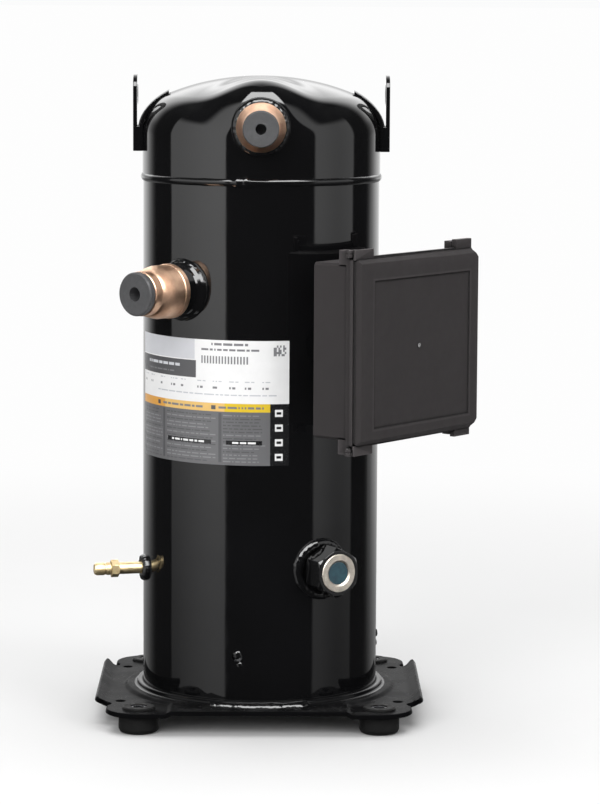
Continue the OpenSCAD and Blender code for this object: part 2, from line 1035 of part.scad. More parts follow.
module orbiting_scroll() {
    plate_r = 74;
    slide = 2 * orbit_r + 0.6;
    color([0.56, 0.56, 0.57])
    translate([orbit_r * cos(crank_angle), orbit_r * sin(crank_angle), 0])
        difference() {
            union() {
                rod(plate_r, orbit_bottom, orbit_top);
                translate([0, 0, orbit_top - eps])
                    linear_extrude(wrap_h + eps)
                        rotate(180)
                            wrap_outline();
                tube(hub_r, hub_bore_r, hub_bottom, orbit_bottom + eps);
            }
            // keyways for the upper keys of the Oldham ring, wide enough for both slides
            for (side = [0, 180])
                rotate([0, 0, side])
                    block([-key_w / 2 - slide, oldham_r - key_w / 2 - orbit_r - 0.3,
                           orbit_bottom - 1],
                          [key_w / 2 + slide, plate_r + 5, orbit_bottom + 6.2]);
        }
}

// Ring that keeps the orbiting scroll from turning: two keys below, two keys above
module oldham_ring() {
    color([0.62, 0.62, 0.60])
    union() {
        tube(oldham_r + oldham_w / 2, oldham_r - oldham_w / 2, oldham_floor + 0.1, thrust_z - 0.5);
        for (side = [0, 180])
            rotate([0, 0, side]) {
                block([oldham_r - key_w / 2 + 0.4, -key_w / 2, oldham_floor - 6],
                      [oldham_r + key_w / 2 - 0.4, key_w / 2, thrust_z - 1]);
                block([-key_w / 2, oldham_r - key_w / 2 + 0.4, oldham_floor + 1],
                      [key_w / 2, oldham_r + key_w / 2 - 0.4, orbit_bottom + 5.5]);
            }
    }
}

module main_bearing_housing() {
    color([0.36, 0.37, 0.38])
    difference() {
        union() {
            rod(housing_r, oldham_floor - 9, flange_z);
            rod(52, pocket_floor - 14, oldham_floor);
            rod(31, pocket_floor - 32, pocket_floor);
        }
        rod(housing_ring_in, thrust_z, flange_z + 1);
        tube(housing_ring_in, 62, oldham_floor, flange_z);
        rod(pocket_r, pocket_floor, flange_z + 1);
        rod(journal_r + run_gap + bush_wall, pocket_floor - 40, flange_z);
        for (side = [0, 180])
            rotate([0, 0, side])
                block([oldham_r - key_w / 2 - orbit_r - 0.4, -key_w / 2 - run_gap,
                       oldham_floor - 6.3],
                      [oldham_r + key_w / 2 + orbit_r, key_w / 2 + run_gap, oldham_floor + 1]);
        for (i = [0:3])
            rotate([0, 0, bolt_turn + i * 90])
                translate([84.8, 0, 0])
                    rod(3.05, flange_z - 14, flange_z + 1);
        // gas window behind the suction stub
        outwards(suction_az, flange_z)
            block([-1, -14, 83], [40, 14, 100]);
        // gas passages between the ring and the shell
        for (i = [0:3])
            rotate([0, 0, i * 90])
                translate([86, 0, 0])
                    block([0, -9, oldham_floor - 20], [10, 9, flange_z + 1]);
    }
}

module main_bearing_bush() {
    color([0.66, 0.52, 0.34])
    tube(journal_r + run_gap + bush_wall - tight_gap, journal_r + run_gap,
         pocket_floor - 32, pocket_floor - 2);
}

module drive_bush() {
    color([0.55, 0.56, 0.58])
    rotate([0, 0, crank_angle])
        translate([orbit_r, 0, 0])
            tube(16, pin_r + tight_gap, hub_bottom + 1, orbit_bottom - 2);
}

module hub_bearing_bush() {
    color([0.66, 0.52, 0.34])
    translate([orbit_r * cos(crank_angle), orbit_r * sin(crank_angle), 0])
        tube(hub_bore_r - tight_gap, 16 + run_gap, hub_bottom, orbit_bottom - 1);
}

module housing_bolts() {
    color([0.45, 0.45, 0.47])
    for (i = [0:3])
        rotate([0, 0, bolt_turn + i * 90])
            translate([84.8, 0, 0]) {
                rod(3, flange_z - 12, flange_z + 10 + 2 * tight_gap);
                hex_bar(10, flange_z + 10 + tight_gap, flange_z + 15);
            }
}

module floating_seal() {
    color([0.48, 0.44, 0.38])
    turned([
        [22.1, fixed_top + 1], [53.9, fixed_top + 1], [53.9, fixed_top + 9],
        [36, fixed_top + 9], [36, separator_z - 1], [30, separator_z - 1],
        [30, fixed_top + 9], [22.1, fixed_top + 9]
    ]);
}

module check_valve_disc() {
    color([0.70, 0.70, 0.72])
    rod(12, fixed_floor + 15.05, fixed_floor + 16.4);
}

// Cage that stops the disc when gas lifts it
module check_valve_guide() {
    color([0.52, 0.52, 0.54])
    difference() {
        tube(13 - tight_gap, 12.1, fixed_floor + 16.5, fixed_floor + 24);
        for (i = [0:2])
            rotate([0, 0, i * 120])
                block([5, -3, fixed_floor + 17.5], [20, 3, fixed_floor + 19.6]);
    }
    color([0.52, 0.52, 0.54])
    difference() {
        rod(12.2, fixed_floor + 20, fixed_floor + 22);
        for (i = [0:5])
            rotate([0, 0, i * 60])
                translate([7.5, 0, 0])
                    rod(2.4, fixed_floor + 19, fixed_floor + 23);
    }
}

// ---- shaft and motor ----

module crankshaft() {
    color([0.52, 0.53, 0.55])
    rotate([0, 0, crank_angle])
        difference() {
            union() {
                rod(8, shaft_foot, 63);
                rod(lower_journal_r, 62, lower_bush_top + 1);
                rod(15.5, lower_bush_top + run_gap, stator_foot - 8);
                rod(journal_r, stator_foot - 9, pocket_floor);
                rod(16.9, pocket_floor - 1, hub_bottom - 1);
                translate([orbit_r, 0, 0])
                    rod(pin_r, hub_bottom - 2, orbit_bottom - 3);
            }
            // pickup bore and the rising oil way
            rod(5, shaft_foot - 1, 100);
            translate([3, 0, 0])
                rod(2, 95, orbit_bottom);
        }
}

// Half ring that balances the orbiting scroll, on one end ring of the rotor
module half_ring_weight(z0, z1, side) {
    difference() {
        tube(48, 30, z0, z1);
        translate([side * 50 + side * 6, 0, (z0 + z1) / 2])
            cube([100, 120, z1 - z0 + 2], center = true);
    }
}

module upper_counterweight() {
    color([0.70, 0.58, 0.34])
    rotate([0, 0, crank_angle])
        half_ring_weight(stator_head + 8 + tight_gap, stator_head + 22, 1);
}

module lower_counterweight() {
    color([0.70, 0.58, 0.34])
    rotate([0, 0, crank_angle])
        half_ring_weight(stator_foot - 20, stator_foot - 8 - tight_gap, -1);
}

module rotor_core() {
    color([0.40, 0.41, 0.43])
    rotate([0, 0, crank_angle])
        tube(rotor_r, journal_r + tight_gap, stator_foot, stator_head);
}

module rotor_end_rings() {
    color([0.78, 0.79, 0.80])
    rotate([0, 0, crank_angle]) {
        tube(49, 28, stator_head + tight_gap, stator_head + 8);
        tube(49, 28, stator_foot - 8, stator_foot - tight_gap);
    }
}

module stator_core() {
    color([0.34, 0.35, 0.37])
    translate([0, 0, stator_foot])
        linear_extrude(stator_head - stator_foot)
            difference() {
                circle(shell_in_r - tight_gap);
                circle(stator_bore_r);
                for (i = [0:slot_count - 1])
                    rotate(i * 360 / slot_count)
                        translate([56, -3.2])
                            square([17, 6.4]);
                for (i = [0:slot_count - 1])
                    rotate(i * 360 / slot_count)
                        translate([stator_bore_r - 1, -1.2])
                            square([7, 2.4]);
                // oil return flats
                for (i = [0:3])
                    rotate(45 + i * 90)
                        translate([88, -14])
                            square([10, 28]);
            }
}

module stator_windings() {
    color([0.62, 0.34, 0.18])
    union() {
        for (z = [stator_foot - 26, stator_head + 0.1])
            turned([
                [56, z], [74, z], [79, z + 5], [79, z + 20], [73, z + 25.9], [59, z + 25.9],
                [56, z + 22]
            ]);
        for (i = [0:slot_count - 1])
            rotate([0, 0, i * 360 / slot_count])
                block([56.5, -3, stator_foot - 2], [72.5, 3, stator_head + 2]);
    }
}

module lower_bearing_bracket() {
    color([0.36, 0.37, 0.38])
    difference() {
        union() {
            rod(25, bracket_z - 3, lower_bush_top - 2);
            for (az = bracket_az)
                rotate([0, 0, az - 90]) {
                    block([0, -11, bracket_z - 2], [shell_in_r - 2, 11, bracket_z + 4]);
                    intersection() {
                        tube(shell_in_r - tight_gap, shell_in_r - 4.5, bracket_z - 9, bracket_z + 9);
                        block([60, -14, bracket_z - 10], [100, 14, bracket_z + 10]);
                    }
                }
        }
        rod(lower_journal_r + run_gap + bush_wall, bracket_z - 10, lower_bush_top + 5);
    }
}

module lower_bearing_bush() {
    color([0.66, 0.52, 0.34])
    difference() {
        union() {
            rod(lower_journal_r + run_gap + bush_wall - tight_gap, bracket_z - 2, lower_bush_top);
            rod(20, lower_bush_top - 2 + tight_gap, lower_bush_top);
        }
        rod(lower_journal_r + run_gap, bracket_z - 5, lower_bush_top + 5);
    }
}

// Three wires from the top of the windings to the motor terminals
module motor_leads() {
    color([0.75, 0.72, 0.66])
    for (i = [0:2]) {
        turn = 180 + i * 120;
        u = 9 * sin(turn);
        z = terminal_z - 9 * cos(turn);
        rotate([0, 0, box_az - 90])
            translate([0, u, 0]) {
                translate([76, 0, 0])
                    rod(1.7, stator_head + 26.2, z);
                translate([76, 0, z])
                    sphere(1.7);
                translate([76, 0, z])
                    rotate([0, 90, 0])
                        rod(1.7, 0, 3.9);
            }
    }
}

base_plate();
mounting_grommets();
grommet_sleeves();
bottom_cap();
shell();
separator_plate();
top_cap();
cap_seam_weld();
base_welds();
lifting_lugs();
discharge_stub();
discharge_weld();
discharge_plug();
suction_stub();
suction_weld();
suction_plug();
sight_glass_spud();
sight_glass_nut();
sight_glass_ring();
sight_glass_lens();
sight_glass_seal();
sight_glass_weld();
oil_valve_body();
oil_valve_weld();
oil_valve_core();
oil_valve_spring();
oil_valve_cap();
plug_welds();
data_label();
terminal_box_base();
terminal_box_cover();
cover_gasket();
cover_hinge_pins();
terminal_fence();
box_nuts();
terminal_cup();
terminal_pins();
terminal_glass();
motor_protector();
fixed_scroll();
orbiting_scroll();
oldham_ring();
main_bearing_housing();
main_bearing_bush();
drive_bush();
hub_bearing_bush();
crankshaft();
upper_counterweight();
lower_counterweight();
rotor_core();
rotor_end_rings();
stator_core();
stator_windings();
lower_bearing_bracket();
lower_bearing_bush();
housing_bolts();
floating_seal();
check_valve_disc();
check_valve_guide();
motor_leads();
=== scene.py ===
"""Looks of the scroll compressor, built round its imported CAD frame.

Everything is in metres in the CAD's own frame: +Z up, the front is -Y, the origin is on the
shell's axis at floor level. Lengths below are given in millimetres and turned into metres by MM.
Azimuths are in degrees from the front, growing towards +X.
"""

import json
import math

import bmesh
import bpy
import numpy as np
from mathutils import Matrix, Vector, geometry, noise


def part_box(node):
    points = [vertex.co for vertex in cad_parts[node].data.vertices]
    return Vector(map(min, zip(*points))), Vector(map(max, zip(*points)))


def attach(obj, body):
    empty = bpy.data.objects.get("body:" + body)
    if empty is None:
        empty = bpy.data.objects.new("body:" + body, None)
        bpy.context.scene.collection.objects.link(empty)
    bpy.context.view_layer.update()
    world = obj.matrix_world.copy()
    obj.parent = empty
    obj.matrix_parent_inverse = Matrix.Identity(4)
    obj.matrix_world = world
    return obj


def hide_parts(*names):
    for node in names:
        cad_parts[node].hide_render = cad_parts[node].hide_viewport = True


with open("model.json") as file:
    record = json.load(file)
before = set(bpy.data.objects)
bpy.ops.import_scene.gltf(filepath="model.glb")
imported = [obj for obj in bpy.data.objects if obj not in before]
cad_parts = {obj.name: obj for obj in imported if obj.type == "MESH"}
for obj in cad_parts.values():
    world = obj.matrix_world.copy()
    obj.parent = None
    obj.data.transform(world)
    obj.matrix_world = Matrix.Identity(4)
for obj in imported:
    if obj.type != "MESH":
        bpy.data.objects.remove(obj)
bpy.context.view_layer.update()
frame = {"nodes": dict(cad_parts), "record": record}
NODES = frame["nodes"]
RECORD = frame["record"]
MM = 0.001
TURN = 2 * math.pi


# -------- places read from the frame


def mount(name):
    """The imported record's mount of that name."""
    return next(m for m in RECORD["mounts"] if m["name"] == name)


def mount_height(name):
    """Height of a mount in millimetres."""
    return mount(name)["pos_m"][2] / MM


def corners(node):
    """A CAD node's lowest and highest corners, in millimetres."""
    low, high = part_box(node)
    return low / MM, high / MM


def outer_radius(node):
    """Outside radius in millimetres of a CAD node that is round about the shell's axis."""
    low, high = corners(node)
    return (high.x - low.x) / 2


def azimuth(x, y):
    """Azimuth in degrees of a place seen from the shell's axis."""
    return math.degrees(math.atan2(x, -y))


def outward(az):
    """Unit vector that points away from the shell's axis at an azimuth."""
    a = math.radians(az)
    return Vector((math.sin(a), -math.cos(a), 0))


def reach(node, az):
    """Lowest and highest place of a CAD node along an azimuth, in mm from the shell's axis."""
    along = outward(az)
    spans = [v.co.dot(along) / MM for v in NODES[node].data.vertices]
    return min(spans), max(spans)


def box_azimuth():
    """Azimuth in degrees that the terminal box faces: its conduit hole looks sideways."""
    axis = mount("conduit_hole")["axis"]
    return math.degrees(math.atan2(axis[1], axis[0]))


def cover_panel():
    """Extents across and up, in metres, of the shallow panel in the terminal box's cover."""
    out, across = outward(box_azimuth()), outward(box_azimuth() + 90)
    points = [v.co for v in NODES["terminal_box_cover"].data.vertices]
    face = max(p.dot(out) for p in points)
    shallow, deep = 0.6 * MM, 1.0 * MM
    floor = [p for p in points if shallow < face - p.dot(out) < deep]
    spans, heights = [p.dot(across) for p in floor], [p.z for p in floor]
    return (min(spans), max(spans)), (min(heights), max(heights))


def on_shell(az, radius, z):
    """A point at an azimuth, a distance from the axis and a height, in millimetres."""
    return outward(az) * radius + Vector((0, 0, z))


def radial_frame(az, z):
    """Matrix whose local Z points outwards at az from the shell's axis at height z (mm)."""
    out = outward(az)
    up = Vector((0, 0, 1))
    side = up.cross(out)
    turn = Matrix((side, up, out)).transposed().to_4x4()
    return Matrix.Translation(Vector((0, 0, z))) @ turn


SHELL_R = outer_radius("shell")
CAP_R = outer_radius("top_cap")


# -------- materials


class Shader:
    """A material with one Principled BSDF, and short calls for the nodes that feed it."""

    def __init__(self, name):
        self.material = bpy.data.materials.new(name)
        self.material.use_nodes = True
        self.tree = self.material.node_tree
        self.bsdf = self.tree.nodes["Principled BSDF"]
        self.place = self.node("ShaderNodeTexCoord").outputs["Object"]

    def node(self, kind, inputs=None, **settings):
        made = self.tree.nodes.new(kind)
        for key, value in settings.items():
            setattr(made, key, value)
        for key, value in (inputs or {}).items():
            self.feed(made.inputs[key], value)
        return made

    def feed(self, socket, value):
        if isinstance(value, bpy.types.NodeSocket):
            self.tree.links.new(value, socket)
        else:
            socket.default_value = value

    def set(self, **values):
        """Feeds inputs of the BSDF; an underscore in a name stands for a space."""
        for key, value in values.items():
            self.feed(self.bsdf.inputs[key.replace("_", " ")], value)
        return self

    def noise(self, scale, detail=4.0, roughness=0.55, stretch=(1, 1, 1), distortion=0.0):
        mapped = self.node("ShaderNodeMapping", {"Vector": self.place, "Scale": stretch})
        settings = {
            "Vector": mapped.outputs["Vector"],
            "Scale": scale,
            "Detail": detail,
            "Roughness": roughness,
            "Distortion": distortion,
        }
        return self.node("ShaderNodeTexNoise", settings).outputs["Fac"]

    def cells(self, scale):
        made = self.node("ShaderNodeTexVoronoi", {"Vector": self.place, "Scale": scale})
        return made.outputs["Distance"]

    def span(self, value, low, high, to_low, to_high):
        return self.node(
            "ShaderNodeMapRange",
            {"Value": value, 1: low, 2: high, 3: to_low, 4: to_high},
            interpolation_type="SMOOTHSTEP",
        ).outputs[0]

    def mix(self, factor, low, high):
        made = self.node("ShaderNodeMix", {"Factor": factor}, data_type="RGBA")
        self.feed(made.inputs[6], low)
        self.feed(made.inputs[7], high)
        return made.outputs[2]

    def math(self, operation, left, right=0.0):
        made = self.node("ShaderNodeMath", {0: left, 1: right}, operation=operation)
        return made.outputs[0]

    def bump(self, height, strength, distance, normal=None):
        """A bump from a height, laid over another bump's normal where one is given."""
        inputs = {"Height": height, "Strength": strength, "Distance": distance}
        if normal:
            inputs["Normal"] = normal
        return self.node("ShaderNodeBump", inputs).outputs["Normal"]

    def edge_highlight(self):
        """1 on outside corners, 0 on flat and hollow places; lays a painted highlight along
        outside edges.
        """
        point = self.node("ShaderNodeNewGeometry").outputs["Pointiness"]
        return self.span(point, 0.52, 0.60, 0.0, 1.0)

    def openness(self, reach_m):
        """1 in the open, towards 0 in grooves and corners narrower than the reach."""
        made = self.node("ShaderNodeAmbientOcclusion", {"Distance": reach_m}, samples=6)
        return made.outputs["AO"]

    def outside(self, az, across, up):
        """Metres outside an upright rectangle seen from an azimuth, negative inside it."""
        axes = self.node("ShaderNodeSeparateXYZ", {"Vector": self.place}).outputs
        along = outward(az + 90)
        u = self.math(
            "ADD", self.math("MULTIPLY", axes[0], along.x), self.math("MULTIPLY", axes[1], along.y)
        )
        gaps = []
        for value, (low, high) in ((u, across), (axes[2], up)):
            off = self.math("ABSOLUTE", self.math("SUBTRACT", value, (low + high) / 2))
            gaps.append(self.math("SUBTRACT", off, (high - low) / 2))
        return self.math("MAXIMUM", *gaps)

    def upward(self):
        """1 where the surface faces the sky, 0 where it faces sideways or down."""
        normal = self.node("ShaderNodeNewGeometry").outputs["Normal"]
        z = self.node("ShaderNodeSeparateXYZ", {"Vector": normal}).outputs["Z"]
        return self.span(z, 0.2, 1.0, 0.0, 1.0)


NO_TINT = (1.0, 1.0, 1.0)


def grey(value, tint=NO_TINT):
    """A grey with full opacity, tinted where a tint is given."""
    return (value * tint[0], value * tint[1], value * tint[2], 1.0)


def enamel(name, rough_low=0.035, rough_high=0.085, ripple=0.02, dust=0.03, shine=0.5):
    """Gloss black enamel: faint orange peel, slow waves, and a little dust on top faces."""
    s = Shader(name)
    tone = s.mix(s.noise(14), grey(0.0028), grey(0.0050, (1.0, 1.0, 1.15)))
    specks = s.span(s.noise(900, 2.0), 0.66, 0.82, 0.0, 1.0)
    film = s.math("MULTIPLY", s.upward(), s.span(s.noise(60), 0.35, 0.8, 0.1, 1.0))
    dusty = s.math("MULTIPLY", s.math("ADD", film, s.math("MULTIPLY", specks, 0.3)), dust)
    roughness = s.span(s.noise(45, 5.0), 0.3, 0.75, rough_low, rough_high)
    peel = s.bump(s.noise(520, 2.0), ripple, 0.0002)
    s.set(
        Base_Color=s.mix(dusty, tone, grey(0.30)),
        Roughness=s.math("ADD", roughness, s.math("MULTIPLY", dusty, 1.5)),
        Specular_IOR_Level=shine,
        Normal=s.bump(s.noise(26, 1.0), 0.05, 0.0016, peel),
    )
    return s.material


def metal(name, light, dark, rough=(0.25, 0.45), scale=120, spots=0.0, bump=0.05, hollow=0.0):
    """Bare metal whose colour, polish and spotting wander over the surface; where hollow is given,
    its hollows get painted shade.
    """
    s = Shader(name)
    cloud = s.span(s.noise(scale, 6.0, 0.6), 0.32, 0.70, 0.0, 1.0)
    colour = s.mix(cloud, (*dark, 1.0), (*light, 1.0))
    stain = s.span(s.noise(scale * 2.5, 5.0, 0.7, distortion=0.4), 0.60, 0.72, 0.0, spots)
    colour = s.mix(stain, colour, (dark[0] * 0.35, dark[1] * 0.28, dark[2] * 0.25, 1.0))
    # Painted shade: hollows and grooves within the reach darkened towards near black.
    if hollow:
        colour = s.mix(s.span(s.openness(hollow), 0.3, 0.95, 0.0, 1.0), grey(0.03), colour)
    scratch = s.noise(scale * 6, 3.0, 0.5, stretch=(1, 1, 9))
    s.set(
        Base_Color=colour,
        Metallic=1.0,
        Roughness=s.span(scratch, 0.3, 0.7, *rough),
        Normal=s.bump(scratch, bump, 0.0004),
    )
    return s.material


def rubber(name, value, tint=NO_TINT, rough=0.62, shine=0.5):
    """Moulded rubber: fine pores, pale bloom in patches."""
    s = Shader(name)
    bloom = s.span(s.noise(90, 5.0, 0.6), 0.45, 0.8, 0.0, 0.35)
    colour = s.mix(bloom, grey(value, tint), grey(value * 1.9 + 0.004, tint))
    pores = s.noise(1500, 3.0, 0.6)
    s.set(
        Base_Color=colour,
        Roughness=s.span(s.noise(300), 0.3, 0.7, rough - 0.1, rough + 0.12),
        Specular_IOR_Level=shine,
        Normal=s.bump(pores, 0.18, 0.0003),
    )
    return s.material


# Painted shade and painted highlight along the cover's panel, a dark line inside its edge and a
# light one outside it: metres outside its edge, tone against the plastic's, strength
PANEL_SHADE_AND_HIGHLIGHT = ((-0.0006, 0.2, 0.6), (0.0012, 2.6, 0.25))


def plastic(name, value, tint=NO_TINT, rough=0.46, texture=0.22, shine=0.5, panel=()):
    """Moulded plastic: spark texture, flow marks, scuffs, painted edge highlights and painted
    shade.
    """
    s = Shader(name)
    flow = s.noise(22, 3.0, 0.5, stretch=(1, 1, 0.35), distortion=0.6)
    colour = s.mix(flow, grey(value * 0.86, tint), grey(value * 1.14, tint))
    scuff = s.span(s.noise(160, 6.0, 0.7, stretch=(1, 1, 4)), 0.66, 0.80, 0.0, 0.25)
    colour = s.mix(scuff, colour, grey(value * 1.8 + 0.01, tint))
    # Painted highlight: outside edges made much lighter.
    colour = s.mix(s.edge_highlight(), colour, grey(value * 4.0, tint))
    # Painted shade: grooves and corners narrower than 3 mm darkened towards near black.
    colour = s.mix(s.span(s.openness(0.003), 0.66, 0.97, 0.0, 1.0), grey(value * 0.1), colour)
    # Painted shade and painted highlight: a dark line just inside the panel's edge, a light one
    # just outside.
    if panel:
        beyond = s.outside(*panel)
        for middle, tone, weight in PANEL_SHADE_AND_HIGHLIGHT:
            off = s.math("ABSOLUTE", s.math("SUBTRACT", beyond, middle))
            line = s.span(off, 0.0004, 0.0012, weight, 0.0)
            colour = s.mix(line, colour, grey(value * tone, tint))
    spark = s.math("ADD", s.noise(1400, 3.0, 0.6), s.math("MULTIPLY", s.cells(980), 0.3))
    s.set(
        Base_Color=colour,
        Roughness=s.span(s.noise(70, 4.0), 0.3, 0.7, rough - 0.06, rough + 0.08),
        Specular_IOR_Level=shine,
        Normal=s.bump(spark, texture, 0.0003),
    )
    return s.material


def box_plastic(name, panel=()):
    """The terminal box's plastic, with a panel's painted shade and painted highlight lines where
    one is given.
    """
    return plastic(name, 0.026, (1.08, 0.98, 1.0), 0.55, shine=0.17, panel=panel)


def printed(name, colour, rough=0.34):
    """Ink on a laminated film: even colour with faint mottling and fine scratches."""
    s = Shader(name)
    dark = tuple(c * 0.90 for c in colour)
    hairline = s.span(s.noise(500, 3.0, 0.5, stretch=(1, 1, 12)), 0.7, 0.8, 0.0, 0.15)
    tone = s.mix(s.noise(120, 5.0), (*dark, 1.0), (*colour, 1.0))
    s.set(
        Base_Color=s.mix(hairline, tone, grey(0.5)),
        Roughness=s.span(s.noise(240), 0.3, 0.7, rough - 0.05, rough + 0.08),
        Normal=s.bump(s.noise(900, 2.0), 0.03, 0.0002),
    )
    return s.material


def cast_iron(name):
    """Machined grey iron with open grain."""
    return metal(name, (0.36, 0.36, 0.37), (0.20, 0.20, 0.21), (0.4, 0.6), 200, 0.3, 0.2)


def dark_glass(name):
    """Blue-green fused glass of the oil sight, its tone wandering in patches."""
    s = Shader(name)
    depth = s.span(s.noise(130, 2.0), 0.3, 0.7, 0.0, 1.0)
    s.set(
        Base_Color=s.mix(depth, (0.007, 0.034, 0.050, 1), (0.013, 0.058, 0.078, 1)),
        Roughness=s.span(s.noise(400), 0.3, 0.7, 0.03, 0.08),
        IOR=1.52,
        Coat_Weight=0.6,
    )
    return s.material


STEEL = ((0.62, 0.62, 0.60), (0.42, 0.42, 0.42))
BRASS = ((0.84, 0.70, 0.42), (0.66, 0.50, 0.27))
COPPER = ((0.88, 0.60, 0.42), (0.70, 0.42, 0.28))

MATERIALS = {
    "black_paint": enamel("gloss_black_enamel"),
    "weld_paint": enamel("enamel_over_weld", 0.08, 0.20, 0.20, 0.02),
    "plate_paint": enamel("satin_black_enamel", 0.20, 0.32, 0.03, 0.06, 0.006),
    "collar_paint": enamel("collar_enamel", 0.10, 0.20, 0.05, 0.04, 0.10),
    "foot_rubber": rubber("black_rubber", 0.007, shine=0.10),
    "plug_rubber": rubber("grey_rubber", 0.050, (1.0, 1.0, 1.04)),
    "zinc_steel": metal("zinc_plated_steel", *STEEL, (0.25, 0.42), 160, 0.2),
    "copper_plate": metal("copper_plating", *COPPER, (0.32, 0.48), 90, 0.2, 0.08),
    "valve_brass": metal("machined_brass", *BRASS, (0.42, 0.55), 150, 0.3, 0.06),
    # The ring's recess gets painted shade through hollow.
    "ring_steel": metal(
        "nickel_ring", (0.62, 0.57, 0.50), (0.46, 0.42, 0.37), (0.5, 0.62), 200, hollow=0.008
    ),
    "sight_lens": dark_glass("sight_lens_glass"),
    "seal_white": plastic("white_seal", 0.70, rough=0.4),
    "spring_steel": metal("spring_wire", (0.56, 0.56, 0.58), (0.38, 0.38, 0.40)),
    "label_film": printed("label_white", (0.84, 0.84, 0.84)),
    "ink_faint": printed("label_faint_grey", (0.62, 0.63, 0.66)),
    "ink_pale": printed("label_pale_grey", (0.50, 0.51, 0.55)),
    "ink_soft": printed("label_soft_grey", (0.23, 0.23, 0.24)),
    "ink_panel": printed("label_panel_grey", (0.135, 0.135, 0.14)),
    "ink_amber": printed("label_amber", (0.78, 0.50, 0.16)),
    "ink_mid": printed("label_mid_grey", (0.20, 0.20, 0.21)),
    "ink_slate": printed("label_slate", (0.085, 0.085, 0.09)),
    "ink_black": printed("label_black", (0.012, 0.012, 0.013), 0.22),
    "ink_yellow": printed("label_yellow", (0.72, 0.50, 0.02)),
    "ink_orange": printed("label_orange", (0.70, 0.34, 0.06)),
    "box_plastic": box_plastic("terminal_box_plastic"),
    "cover_plastic": box_plastic("box_cover_plastic", (box_azimuth(), *cover_panel())),
    "gate_plastic": plastic("gate_mark_plastic", 0.11, rough=0.5),
    "foam": rubber("foam_gasket", 0.02, rough=0.8),
    "fused_glass": plastic("terminal_glass_bead", 0.16, (0.8, 1.0, 0.92), 0.15, 0.02),
    "terminal_steel": metal("terminal_cup_steel", (0.46, 0.46, 0.48), (0.30, 0.30, 0.32)),
    "terminal_pin": metal("terminal_pin_metal", (0.72, 0.58, 0.38), (0.55, 0.40, 0.24)),
    "module_plastic": plastic("module_case", 0.045, (0.9, 1.0, 1.15), 0.4),
    "cast_iron": cast_iron("machined_iron"),
    "bronze_bush": metal("bearing_bronze", (0.66, 0.48, 0.27), (0.45, 0.31, 0.16)),
    "ground_steel": metal("ground_steel", (0.60, 0.61, 0.63), (0.44, 0.45, 0.47), (0.15, 0.3)),
    "lamination": metal("steel_laminations", (0.34, 0.35, 0.37), (0.20, 0.21, 0.23), (0.35, 0.6)),
    "cast_aluminium": metal("die_cast_aluminium", (0.80, 0.81, 0.82), (0.62, 0.63, 0.64)),
    "winding_copper": metal("varnished_winding", (0.72, 0.30, 0.12), (0.42, 0.16, 0.06), bump=0.5),
    "bolt_steel": metal("black_oxide_steel", (0.20, 0.20, 0.21), (0.10, 0.10, 0.11)),
    "lead_sleeve": rubber("woven_sleeve", 0.55, (1.0, 0.96, 0.86)),
}


# -------- mesh helpers

SAME_PLACE = 1e-7  # metres within which two points of a mesh are one


def shade(obj, angle):
    """Smooth shading, with creases kept where faces meet at more than the angle."""
    obj.data.shade_smooth()
    obj.data.set_sharp_from_angle(angle=math.radians(angle))


def join_rings(a, b, n, flip=False):
    """Faces between two closed rings of n points, which start at the numbers a and b."""
    pairs = [(j, (j + 1) % n) for j in range(n)]
    if flip:
        return [(a + j, b + j, b + k, a + k) for j, k in pairs]
    return [(a + j, a + k, b + k, b + j) for j, k in pairs]


def circle(radius, sides, x=0, y=0):
    """Points of a circle round a place."""
    turns = [TURN * i / sides for i in range(sides)]
    return [(x + radius * math.cos(a), y + radius * math.sin(a)) for a in turns]


def build(name, points, faces, slots, body="housing", stands_for=(), face_slots=None, angle=32):
    """Makes a piece from points in millimetres, gives it materials and lets it ride on a body."""
    mesh = bpy.data.meshes.new(name)
    mesh.from_pydata([tuple(c * MM for c in p) for p in points], [], faces)
    slots = [slots] if isinstance(slots, str) else slots
    for slot in slots:
        mesh.materials.append(MATERIALS[slot])
    if face_slots is not None:
        mesh.polygons.foreach_set("material_index", face_slots)
    mesh.update()
    work = bmesh.new()
    work.from_mesh(mesh)
    bmesh.ops.remove_doubles(work, verts=work.verts, dist=SAME_PLACE)
    bmesh.ops.recalc_face_normals(work, faces=work.faces)
    work.to_mesh(mesh)
    work.free()
    obj = bpy.data.objects.new(name, mesh)
    bpy.context.scene.collection.objects.link(obj)
    shade(obj, angle)
    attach(obj, body)
    if stands_for:
        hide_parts(*stands_for)
    return obj


def apply_modifiers(obj):
    """Turns an object's modified shape into its mesh and drops the modifiers."""
    graph = bpy.context.evaluated_depsgraph_get()
    made = bpy.data.meshes.new_from_object(obj.evaluated_get(graph))
    old = obj.data
    obj.modifiers.clear()
    obj.data = made
    bpy.data.meshes.remove(old)


def round_edges(obj, radius, segments, angle):
    """A bevel in millimetres on the edges that are sharper than an angle."""
    edge = obj.modifiers.new("edge", "BEVEL")
    edge.width = radius * MM
    edge.segments = segments
    edge.limit_method = "ANGLE"
    edge.angle_limit = math.radians(angle)
    edge.use_clamp_overlap = False


def bore(obj, place, radius, low, high, sides=96):
    """Cuts a round hole along the local Z of a frame, from one height to another."""
    ring = circle(radius, sides)
    points = [place @ Vector((x, y, z)) for z in (low, high) for x, y in ring]
    faces = join_rings(0, sides, sides)
    faces += [tuple(range(sides))[::-1], tuple(range(sides, 2 * sides))]
    mesh = bpy.data.meshes.new("cutter")
    mesh.from_pydata([tuple(p * MM) for p in points], [], faces)
    cutter = bpy.data.objects.new("cutter", mesh)
    bpy.context.scene.collection.objects.link(cutter)
    tool = obj.modifiers.new("cut", "BOOLEAN")
    tool.object = cutter
    tool.operation = "DIFFERENCE"
    tool.solver = "EXACT"
    apply_modifiers(obj)
    bpy.data.objects.remove(cutter)


